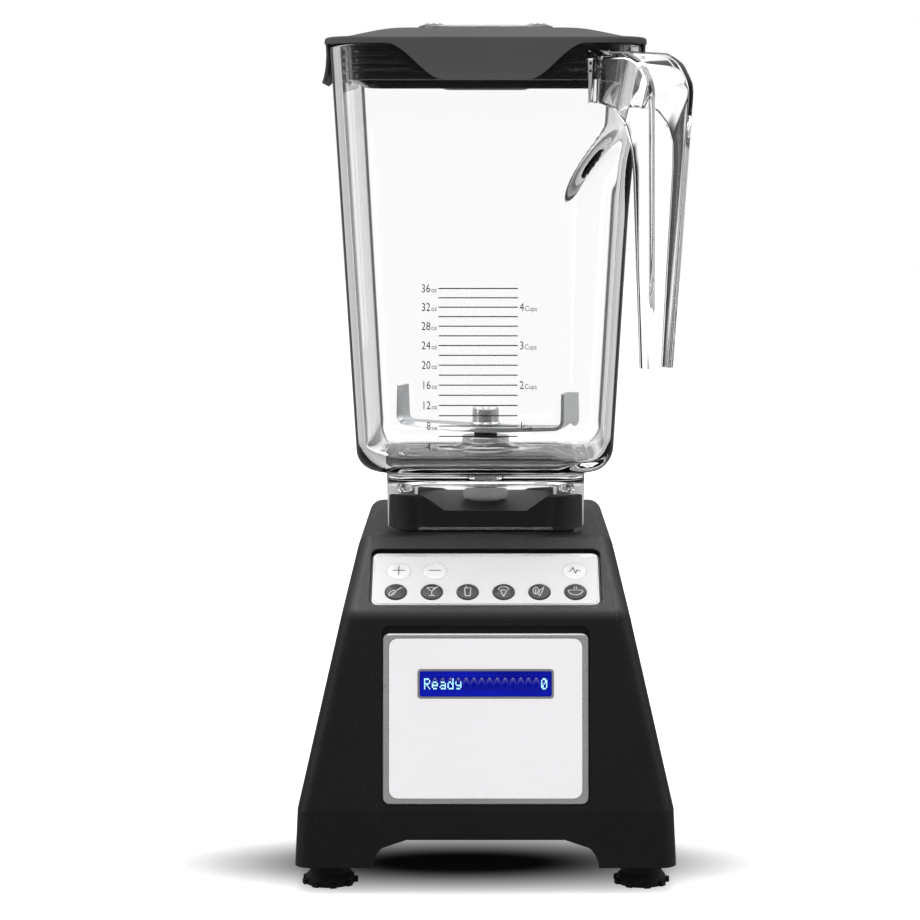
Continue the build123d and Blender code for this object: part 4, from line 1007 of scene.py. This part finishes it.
# %% [markdown]
# ### The marks
# Plus, minus and a pulse stand on the white keys. The programme keys show a whisk, a glass, a cup with a
# straw, a cone, fruit with a carrot, and a bowl. Each mark is a few lines in millimetres from the key's
# middle.

# %% The marks
WHISK_TURN = np.array([[0.707, -0.707], [0.707, 0.707]])
key_marks = {
    "speed_up_button": [[(-2.75, 0), (2.75, 0)], [(0, -2.75), (0, 2.75)]],
    "speed_down_button": [[(-2.75, 0), (2.75, 0)]],
    "pulse_button": [[(-2.7, -0.4), (-1.8, -0.4), (-0.7, 2.0), (0.4, -2.0), (1.2, 0.4), (1.8, -0.2),
                      (2.7, -0.2)]],
    "batter_button": [[(2.8, 2.6), (0.3, 0.1)],
                      circle_line((-1.0, -1.2), 1.0, 1.9) @ WHISK_TURN + (-0.1, -1.1),
                      [(0.2, 0.0), (-2.2, -2.4)]],
    "crushed_ice_button": [[(-2.4, 2.3), (2.2, 2.3), (0, -0.4), (-2.4, 2.3)], [(0, -0.4), (0, -2.8)],
                           [(-1.3, -2.8), (1.3, -2.8)], [(0.3, 0.8), (2.9, 3.2)]],
    "smoothie_button": [[(-1.5, 2.0), (1.5, 2.0), (1.1, -3.0), (-1.1, -3.0), (-1.5, 2.0)],
                        [(-0.4, 2.0), (-0.9, 3.4)]],
    "ice_cream_button": [[(-1.5, 0.4), (1.5, 0.4), (0, -3.4), (-1.5, 0.4)],
                         circle_line((0, 1.2), 2.3, 1.7, -20, 200)],
    "whole_juice_button": [circle_line((-1.7, 0.4), 1.2, 2.2), [(-1.7, -1.8), (-1.7, 1.4)],
                           [(0.3, 0.9), (1.9, 1.6), (0.2, -2.9), (-0.6, -2.4), (0.3, 0.9)],
                           [(1.2, 1.4), (2.3, 3.1)]],
    "hot_soup_button": [[(-3.3, 0.5), (3.3, 0.5)], circle_line((0, 0.5), 3.3, 2.9, 180, 360),
                        [(-0.5, 1.3), (-0.5, 2.9)], [(0.5, 1.3), (0.5, 2.9)]],
}
for node, lines in key_marks.items():
    across, up, edge, _, _ = keys[node]
    place = on_key(across, up, edge)
    ink, slot = (ink_grey, "key_black") if edge == TOP_RADIUS else (ink_white, "key_white")
    strips = [ink_line(line, LINE_OF_INK, place) for line in lines]
    add_piece(node.replace("_button", "_mark"), *joined(*strips), ink, node, slot)

# %% [markdown]
# ## The display
# The window is a blue character display: sixteen cells in a row, each of five by eight dots. Behind the
# glass the cells show faintly, and the lit dots are pale cyan. The text says that the blender is ready,
# and the counter at the right stands at nought. Each character is seven rows of five dots.

# %% The window
window_low, window_high = in_mm(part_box("lcd_window"))
WINDOW_W = window_high[0] - window_low[0]
WINDOW_MID, WINDOW_OUT = 58.0, 0.3
GLASS_GLOW, DOT_GLOW, CELL_GLOW = 0.38, 0.8, 0.34
LAMP_MM, DOT_CLOUD_MM = 26.0, 2.0     # how far the backlight's bright and dark places lie apart
lcd_glass, lcd_tree, lcd_shader = new_material("display_glass_blue_lit", colour("040c70", Roughness=0.08))
lcd_shader.inputs["Coat Weight"].default_value = 0.6
lcd_shader.inputs["Emission Strength"].default_value = GLASS_GLOW
lcd_place = add_node(lcd_tree, "ShaderNodeTexCoord")
lcd_cloud = add_node(lcd_tree, "ShaderNodeTexNoise", {
    "Vector": lcd_place.outputs["Object"], "Scale": 1 / (LAMP_MM * MM), "Detail": 1.0})
lcd_light = add_node(lcd_tree, "ShaderNodeValToRGB", {"Fac": lcd_cloud.outputs["Fac"]})
lcd_light.color_ramp.elements[0].position, lcd_light.color_ramp.elements[1].position = 0.35, 0.68
lcd_light.color_ramp.elements[0].color = srgb("00089a")
lcd_light.color_ramp.elements[1].color = srgb("0a20d6")
lcd_tree.links.new(lcd_light.outputs[0], lcd_shader.inputs["Emission Color"])
dot_lit, dot_tree, dot_shader = new_material("display_dot_lit", colour("9fdcf8", Roughness=0.3))
dot_place = add_node(dot_tree, "ShaderNodeTexCoord")
dot_cloud = add_node(dot_tree, "ShaderNodeTexNoise", {
    "Vector": dot_place.outputs["Object"], "Scale": 1 / (DOT_CLOUD_MM * MM)})
dot_shade = add_node(dot_tree, "ShaderNodeValToRGB", {"Fac": dot_cloud.outputs["Fac"]})
dot_shade.color_ramp.elements[0].color = srgb("8ccdf2")
dot_shade.color_ramp.elements[1].color = srgb("b8ecff")
dot_tree.links.new(dot_shade.outputs[0], dot_shader.inputs["Emission Color"])
dot_shader.inputs["Emission Strength"].default_value = DOT_GLOW
cell_dark = grained("display_cell_unlit", colour("010670"), 3.0, 0.001, (0.08, 0.12), 0.1)
cell_shader = cell_dark.node_tree.nodes["Principled BSDF"]
cell_shader.inputs["Emission Color"].default_value = srgb("0209a4")
cell_shader.inputs["Emission Strength"].default_value = CELL_GLOW
for material_slot in bpy.data.objects["lcd_window"].material_slots:
    material_slot.material = lcd_glass
print("display window:", round(WINDOW_W, 1), "mm wide")

# %% [markdown]
# ### Cells and characters
# The cells are thin boxes on the glass, a little darker than it. Each lit dot is a small box on top. All
# boxes of one kind are worked out as one array of eight corners for each middle.

# %% Cells and characters
CELLS, CELL_PITCH = 16, WINDOW_W / 16.9
DOT_PITCH, DOT_SIZE, DOT_OUT = 0.56, 0.50, 0.035
DOT_TALL = 1.28                       # height of a dot over its width
characters = {
    "R": "11110 10001 10001 11110 10100 10010 10001", "e": "00000 00000 01110 10001 11111 10000 01110",
    "a": "00000 00000 01110 00001 01111 10001 01111", "d": "00001 00001 01101 10011 10001 10001 01111",
    "y": "00000 00000 10001 10001 01111 00001 01110", "0": "01110 10011 10011 10101 11001 11001 01110",
}


def boxes_on_face(face, middles, size_across, size_up, low, high):
    """Many small boxes on a face as one list of points and faces: eight corners each."""
    corners = np.array([(-1, -1), (1, -1), (1, 1), (-1, 1)]) / 2 * (size_across, size_up)
    flat = middles[:, None] + corners[None]
    below = on_face(face, flat[..., 0], flat[..., 1], low)
    above = on_face(face, flat[..., 0], flat[..., 1], high)
    points = np.concatenate([below, above], 1).reshape(-1, 3)
    quads = np.array([(3, 2, 1, 0), (4, 5, 6, 7), (0, 1, 5, 4), (1, 2, 6, 5), (2, 3, 7, 6), (3, 0, 4, 7)])
    faces = (np.arange(len(middles))[:, None, None] * 8 + quads[None]).reshape(-1, 4)
    return points, faces.tolist()


cell_x = (np.arange(CELLS) - (CELLS - 1) / 2) * CELL_PITCH
cell_middles = np.stack([cell_x, np.full(CELLS, WINDOW_MID)], -1)
CELL_WIDE, CELL_TALL, CELL_UNDER, CELL_OUT = CELL_PITCH * 0.86, DOT_PITCH * 10.5, 0.002, 0.012
cell_boxes = boxes_on_face(front_face, cell_middles, CELL_WIDE, CELL_TALL,
                           WINDOW_OUT + CELL_UNDER, WINDOW_OUT + CELL_OUT)
add_piece("display_cells", *cell_boxes, cell_dark, "base", "lcd_blue")
dots = []
for cell, letter in zip((0, 1, 2, 3, 4, 15), "Ready0"):
    grid = np.array([[int(dot) for dot in row] for row in characters[letter].split()])
    row, column = np.nonzero(grid)
    dots.append(np.stack([cell_x[cell] + (column - 2) * DOT_PITCH,
                          WINDOW_MID + (3 - row) * DOT_PITCH * DOT_TALL], -1))
dot_boxes = boxes_on_face(front_face, np.concatenate(dots), DOT_SIZE, DOT_SIZE * DOT_TALL,
                          WINDOW_OUT + CELL_OUT, WINDOW_OUT + DOT_OUT)
add_piece("display_text", *dot_boxes, dot_lit, "base", "lcd_blue")

# %% [markdown]
# ## The printed scale
# The jar's front wall carries a scale in dark ink: a line for every two fluid ounces, a number at every
# second line on the left, and cups on the right. The lines are thin boxes that follow the wall's draft,
# and they are further apart lower down, where the jar is narrower.
# The words are text objects, narrowed like a gauge's lettering and turned into meshes before they are
# set on the wall.

# %% The scale
SCALE_TOP, SCALE_LINES = 273.06, 17
SCALE_STEP, SCALE_STRETCH = 4.262, 0.0217     # the top step, and the growth of the place with its square
LINE_LEFT, LINE_RIGHT, LINE_WIDTH = -21.7, 14.8, 0.52
wall_lean = math.atan(DRAFT)
wall_face = (np.array([0.0, -jar_half(0.0), 0.0]),
             np.array([0.0, -math.sin(wall_lean), math.cos(wall_lean)]),
             np.array([0.0, -math.cos(wall_lean), -math.sin(wall_lean)]))
ON_WALL, OFF_WALL = 0.03, 0.07


def up_wall(z):
    """Length up the leaning wall that reaches a height."""
    return z / math.cos(wall_lean)


below_top = np.arange(SCALE_LINES)
line_heights = up_wall(SCALE_TOP - SCALE_STEP * below_top - SCALE_STRETCH * below_top ** 2)
line_middles = np.stack([np.full(SCALE_LINES, (LINE_LEFT + LINE_RIGHT) / 2), line_heights], -1)
line_parts = [boxes_on_face(wall_face, line_middles, LINE_RIGHT - LINE_LEFT, LINE_WIDTH, ON_WALL, OFF_WALL)]
print("scale:", SCALE_LINES, "lines")


# %% [markdown]
# ### The numbers
# A text object is made a mesh, its points are taken out as an array, and the array is narrowed and set on
# the wall. On the left a number's width has to be known before its place is, so it is moved afterwards.

# %% The numbers
def lettering(words, size, narrow, left, up):
    """The faces of a text, size high and narrowed, with its lower left corner at a place on the wall."""
    curve = bpy.data.curves.new("letters", "FONT")
    curve.body, curve.size, curve.resolution_u = words, size, 3
    holder = bpy.data.objects.new("letters", curve)
    bpy.context.scene.collection.objects.link(holder)
    mesh = bpy.data.meshes.new_from_object(holder.evaluated_get(bpy.context.evaluated_depsgraph_get()))
    bpy.data.objects.remove(holder)
    flat = np.zeros(len(mesh.vertices) * 3, np.float32)
    mesh.vertices.foreach_get("co", flat)
    flat = flat.reshape(-1, 3).astype(float)
    faces = [list(face.vertices) for face in mesh.polygons]
    width = flat[:, 0].max() * narrow
    return on_face(wall_face, left + flat[:, 0] * narrow, up + flat[:, 1], OFF_WALL), faces, width


DIGITS, UNITS, NARROW = 5.4, 3.4, 0.80
GAP_DIGIT, GAP_LINE = 0.4, 0.8        # between a number and its unit, and between a unit and the line
TOP_OUNCES, DROP = 36, DIGITS * 0.33  # a number's foot lies this far below its line


def moved_along(part, shift):
    """Lettering moved to the right by a shift."""
    points, faces, _ = part
    return points + np.array([shift, 0, 0]), faces


for line in range(0, SCALE_LINES, 2):
    ounces, line_up = TOP_OUNCES - 2 * line, line_heights[line] - DROP
    number, unit = (lettering(words, size, NARROW, 0, line_up) for words, size in
                    ((str(ounces), DIGITS), ("oz", UNITS)))
    unit_left = LINE_LEFT - GAP_LINE - unit[2]
    line_parts += [moved_along(unit, unit_left), moved_along(number, unit_left - GAP_DIGIT - number[2])]
    if ounces % 8 == 0:
        cups = ounces // 8
        number = lettering(str(cups), DIGITS, NARROW, LINE_RIGHT + GAP_LINE, line_up)
        unit_left = LINE_RIGHT + GAP_LINE + number[2] + GAP_DIGIT
        unit = lettering("Cup" if cups == 1 else "Cups", UNITS, NARROW, unit_left, line_up)
        line_parts += [number[:2], unit[:2]]
add_piece("volume_scale", *joined(*line_parts), ink_black, "jar", "key_black")

# %% [markdown]
# ## The studio
# A pale floor and soft light from above and both sides. What the camera sees behind the jar is white.
# What the plastic reflects is a studio: bright above, dimmer to the sides, so that black plastic stays
# black. The clear jar would vanish in plain white, so the walls of the studio it looks through have a
# few dark flags, as a product photographer stands beside a glass to draw its edges. The world tells
# these apart by how a ray came to it: straight, refracted, mirrored or scattered.

# %% The world's light
FLAG_COUNT = 8                        # dark flags round the studio, with white between them
FLAG_STOPS = [(0.0, 0.0), (0.30, 0.0), (0.50, 1.0), (1.0, 1.0)]
MIRROR_STOPS = [(0.0, 0.03), (0.12, 0.05), (0.4, 0.22), (0.75, 0.9), (1.0, 1.3)]
BACK_LIGHT = 0.25                     # how much brighter the studio's far side is in mirrors
FILL_LIGHT = 0.62                     # of scattered light from all round
INSIDE_GAIN, INSIDE_SHINE = 0.9, 1.5  # more light inside the jar, for what its shadow takes away
THROUGH_LIGHT = 1.18                  # a little over white, for what four clear faces mirror away

world = bpy.data.worlds.new("studio")
bpy.context.scene.world = world
world.use_nodes = True
studio = world.node_tree
studio.nodes.clear()
rays = add_node(studio, "ShaderNodeLightPath")
place = add_node(studio, "ShaderNodeTexCoord")
split = add_node(studio, "ShaderNodeSeparateXYZ", {"Vector": place.outputs["Generated"]})
value = {"x": split.outputs["X"], "y": split.outputs["Y"], "z": split.outputs["Z"]}
value |= {ray: rays.outputs[ray] for ray in ("Is Transmission Ray", "Glossy Depth", "Diffuse Depth")}
# each row is a name, an operation, and its numbers or the names of values from rows above
sums = [
    ("heading", "ARCTAN2", "x", "y"),
    ("flag_turn", "MULTIPLY", "heading", FLAG_COUNT),
    ("flag_wave", "COSINE", "flag_turn"),
    ("between_flags", "MULTIPLY_ADD", "flag_wave", 0.5, 0.5),
    ("behind", "MULTIPLY_ADD", "y", 0.5, 0.5),
    ("backwards", "MULTIPLY", "behind", BACK_LIGHT),
    ("fill", "MULTIPLY_ADD", "Is Transmission Ray", FILL_LIGHT * INSIDE_GAIN, FILL_LIGHT),
    ("shine", "MULTIPLY_ADD", "Is Transmission Ray", INSIDE_SHINE, 1.0),
    ("been_mirrored", "MINIMUM", "Glossy Depth", 1.0),
    ("been_scattered", "MINIMUM", "Diffuse Depth", 1.0),
    ("been_turned", "MAXIMUM", "been_mirrored", "been_scattered"),
    ("straight", "SUBTRACT", 1.0, "been_turned"),
    ("only_refracted", "MULTIPLY", "Is Transmission Ray", "straight"),
]
for name, operation, *terms in sums:
    inputs = {i: value.get(term, term) for i, term in enumerate(terms)}
    value[name] = add_node(studio, "ShaderNodeMath", inputs, operation=operation).outputs[0]
for name, source, stops in (("flags", "between_flags", FLAG_STOPS), ("overhead", "z", MIRROR_STOPS)):
    ramp = add_node(studio, "ShaderNodeValToRGB", {"Fac": value[source]})
    ramp.color_ramp.interpolation = "EASE"
    points = ramp.color_ramp.elements
    while len(points) < len(stops):
        points.new(0.5)
    for point, (position, grey) in zip(points, stops):
        point.position, point.color = position, (grey, grey, grey, 1)
    value[name] = ramp.outputs[0]
mirrored = add_node(studio, "ShaderNodeMath", {0: value["overhead"], 1: value["backwards"]},
                    operation="ADD")
print("studio:", FLAG_COUNT, "flags and", len(sums), "sums")

# %% [markdown]
# ### One light for each kind of ray
# Four backgrounds are mixed: what the camera sees, what shines through the clear jar, what lights by
# scattering, and what a surface mirrors.

# %% One light for each kind of ray
WHITE = (1, 1, 1, 1)
backgrounds = {
    "seen": (WHITE, 1.0), "lit": (WHITE, value["fill"]), "mirror": (mirrored.outputs[0], value["shine"]),
    "through": (value["flags"], THROUGH_LIGHT),
}
shown = {}
for name, (shade, strength) in backgrounds.items():
    background = add_node(studio, "ShaderNodeBackground", {"Color": shade, "Strength": strength})
    shown[name] = background.outputs[0]
for name, share, otherwise, then in (
        ("by_mirror", value["been_mirrored"], "lit", "mirror"),
        ("by_glass", value["only_refracted"], "by_mirror", "through"),
        ("by_camera", rays.outputs["Is Camera Ray"], "by_glass", "seen")):
    mix = add_node(studio, "ShaderNodeMixShader", {0: share, 1: shown[otherwise], 2: shown[then]})
    shown[name] = mix.outputs[0]
add_node(studio, "ShaderNodeOutputWorld", {"Surface": shown["by_camera"]})
print("kinds of background:", len(backgrounds))


# %% [markdown]
# ### Softboxes
# One large box hangs overhead, and a narrow strip stands at each side for the long soft lines on the
# edges. The camera doesn't see them.

# %% Softboxes
def softbox(name, place_mm, aim_mm, size_mm, watts):
    """A rectangular area light that looks at a point."""
    data = bpy.data.lights.new(name, "AREA")
    data.shape = "RECTANGLE"
    data.size, data.size_y = size_mm[0] * MM, size_mm[1] * MM
    data.energy = watts
    light = bpy.data.objects.new(name, data)
    light.location = Vector(place_mm) * MM
    light.rotation_euler = (Vector(aim_mm) - Vector(place_mm)).to_track_quat("-Z", "Y").to_euler()
    light.visible_camera = False
    bpy.context.scene.collection.objects.link(light)


softboxes = {                         # place, the point it looks at, size, and watts
    "top_box": ((0, 100, 1500), (0, 0, 150), (1300, 1000), 14),
    "left_strip": ((-1100, -350, 500), (0, 0, 180), (220, 1000), 1.3),
    "right_strip": ((1100, -350, 500), (0, 0, 180), (220, 1000), 1.1),
}
for name, settings in softboxes.items():
    softbox(name, *settings)
print("softboxes:", len(softboxes))

# %% [markdown]
# ### The floor
# The floor carries a painted shadow: an oval band under the front of the blender, where the floor's
# base colour falls to near black and its glow to nought whatever the light. Further out the floor glows,
# as paper does that sweeps up into a lit backdrop. A ray that a mirror or a wall of the jar has thrown
# back meets no floor, and a ray bent by the jar sees the flags where the floor is far off.

# %% The floor
PAINTED_SHADOW_AT, PAINTED_SHADOW_SQUEEZE = (-0.011, -0.0577), 0.34   # metres, and how much longer the shade is than deep
PAINTED_SHADOW_END, GLOW_START, GLOW = 0.012, 0.066, 0.65    # metres from the middle of the shade
FLAGS_FROM, FLAGS_FULL = 0.35, 0.6                  # metres from the axis
floor_material, floor_tree, floor_shader = new_material("pale_floor_painted_shadow", {
    "Base Color": srgb("eeeeee"), "Roughness": 0.9, "Specular IOR Level": 0.1,
})
floor_place = add_node(floor_tree, "ShaderNodeTexCoord")
floor_moved = add_node(floor_tree, "ShaderNodeMapping", {
    "Vector": floor_place.outputs["Object"], "Scale": (PAINTED_SHADOW_SQUEEZE, 1, 1),
    "Location": (-PAINTED_SHADOW_AT[0] * PAINTED_SHADOW_SQUEEZE, -PAINTED_SHADOW_AT[1], 0)})
floor_reach = add_node(floor_tree, "ShaderNodeVectorMath", {0: floor_moved.outputs[0]}, operation="LENGTH")
# painted shadow: near the oval's middle the floor's base colour and glow are turned down, so this dark band
# is paint, not cast shade
for socket, near, far in (("Emission Strength", 0.0, GLOW), ("Base Color", 0.04, 0.86)):
    painted_shadow_range = add_node(floor_tree, "ShaderNodeMapRange", {
        "Value": floor_reach.outputs["Value"], "From Min": PAINTED_SHADOW_END, "From Max": GLOW_START,
        "To Min": near, "To Max": far}, interpolation_type="SMOOTHSTEP")
    floor_tree.links.new(painted_shadow_range.outputs[0], floor_shader.inputs[socket])
floor_shader.inputs["Emission Color"].default_value = (1, 1, 1, 1)
floor_rays = add_node(floor_tree, "ShaderNodeLightPath")
thrown_back = add_node(floor_tree, "ShaderNodeMath", {0: floor_rays.outputs["Glossy Depth"], 1: 1.0},
                       operation="MINIMUM")
floor_distance = add_node(floor_tree, "ShaderNodeVectorMath", {0: floor_place.outputs["Object"]},
                          operation="LENGTH")
far_off = add_node(floor_tree, "ShaderNodeMapRange", {
    "Value": floor_distance.outputs["Value"], "From Min": FLAGS_FROM, "From Max": FLAGS_FULL})
bent = add_node(floor_tree, "ShaderNodeMath", {
    0: floor_rays.outputs["Is Transmission Ray"], 1: far_off.outputs[0]}, operation="MULTIPLY")
unseen = add_node(floor_tree, "ShaderNodeMath", {0: thrown_back.outputs[0], 1: bent.outputs[0]},
                  operation="MAXIMUM")
no_floor = add_node(floor_tree, "ShaderNodeBsdfTransparent")
floor_seen = add_node(floor_tree, "ShaderNodeMixShader", {
    0: unseen.outputs[0], 1: floor_shader.outputs[0], 2: no_floor.outputs[0]})
floor_output = next(node for node in floor_tree.nodes if node.type == "OUTPUT_MATERIAL")
floor_tree.links.new(floor_seen.outputs[0], floor_output.inputs["Surface"])
FLOOR_RADIUS, FLOOR_SIDES = 6000.0, 96
floor_turn = np.linspace(0, 2 * np.pi, FLOOR_SIDES, endpoint=False)
floor_points = FLOOR_RADIUS * np.stack([np.cos(floor_turn), np.sin(floor_turn), np.zeros(FLOOR_SIDES)], -1)
floor_mesh = bpy.data.meshes.new("floor")
floor_mesh.from_pydata((floor_points * MM).tolist(), [], [list(range(FLOOR_SIDES))])
floor = bpy.data.objects.new("floor", floor_mesh)
floor.data.materials.append(floor_material)
bpy.context.scene.collection.objects.link(floor)
print("floor:", round(2 * FLOOR_RADIUS * MM), "m across")
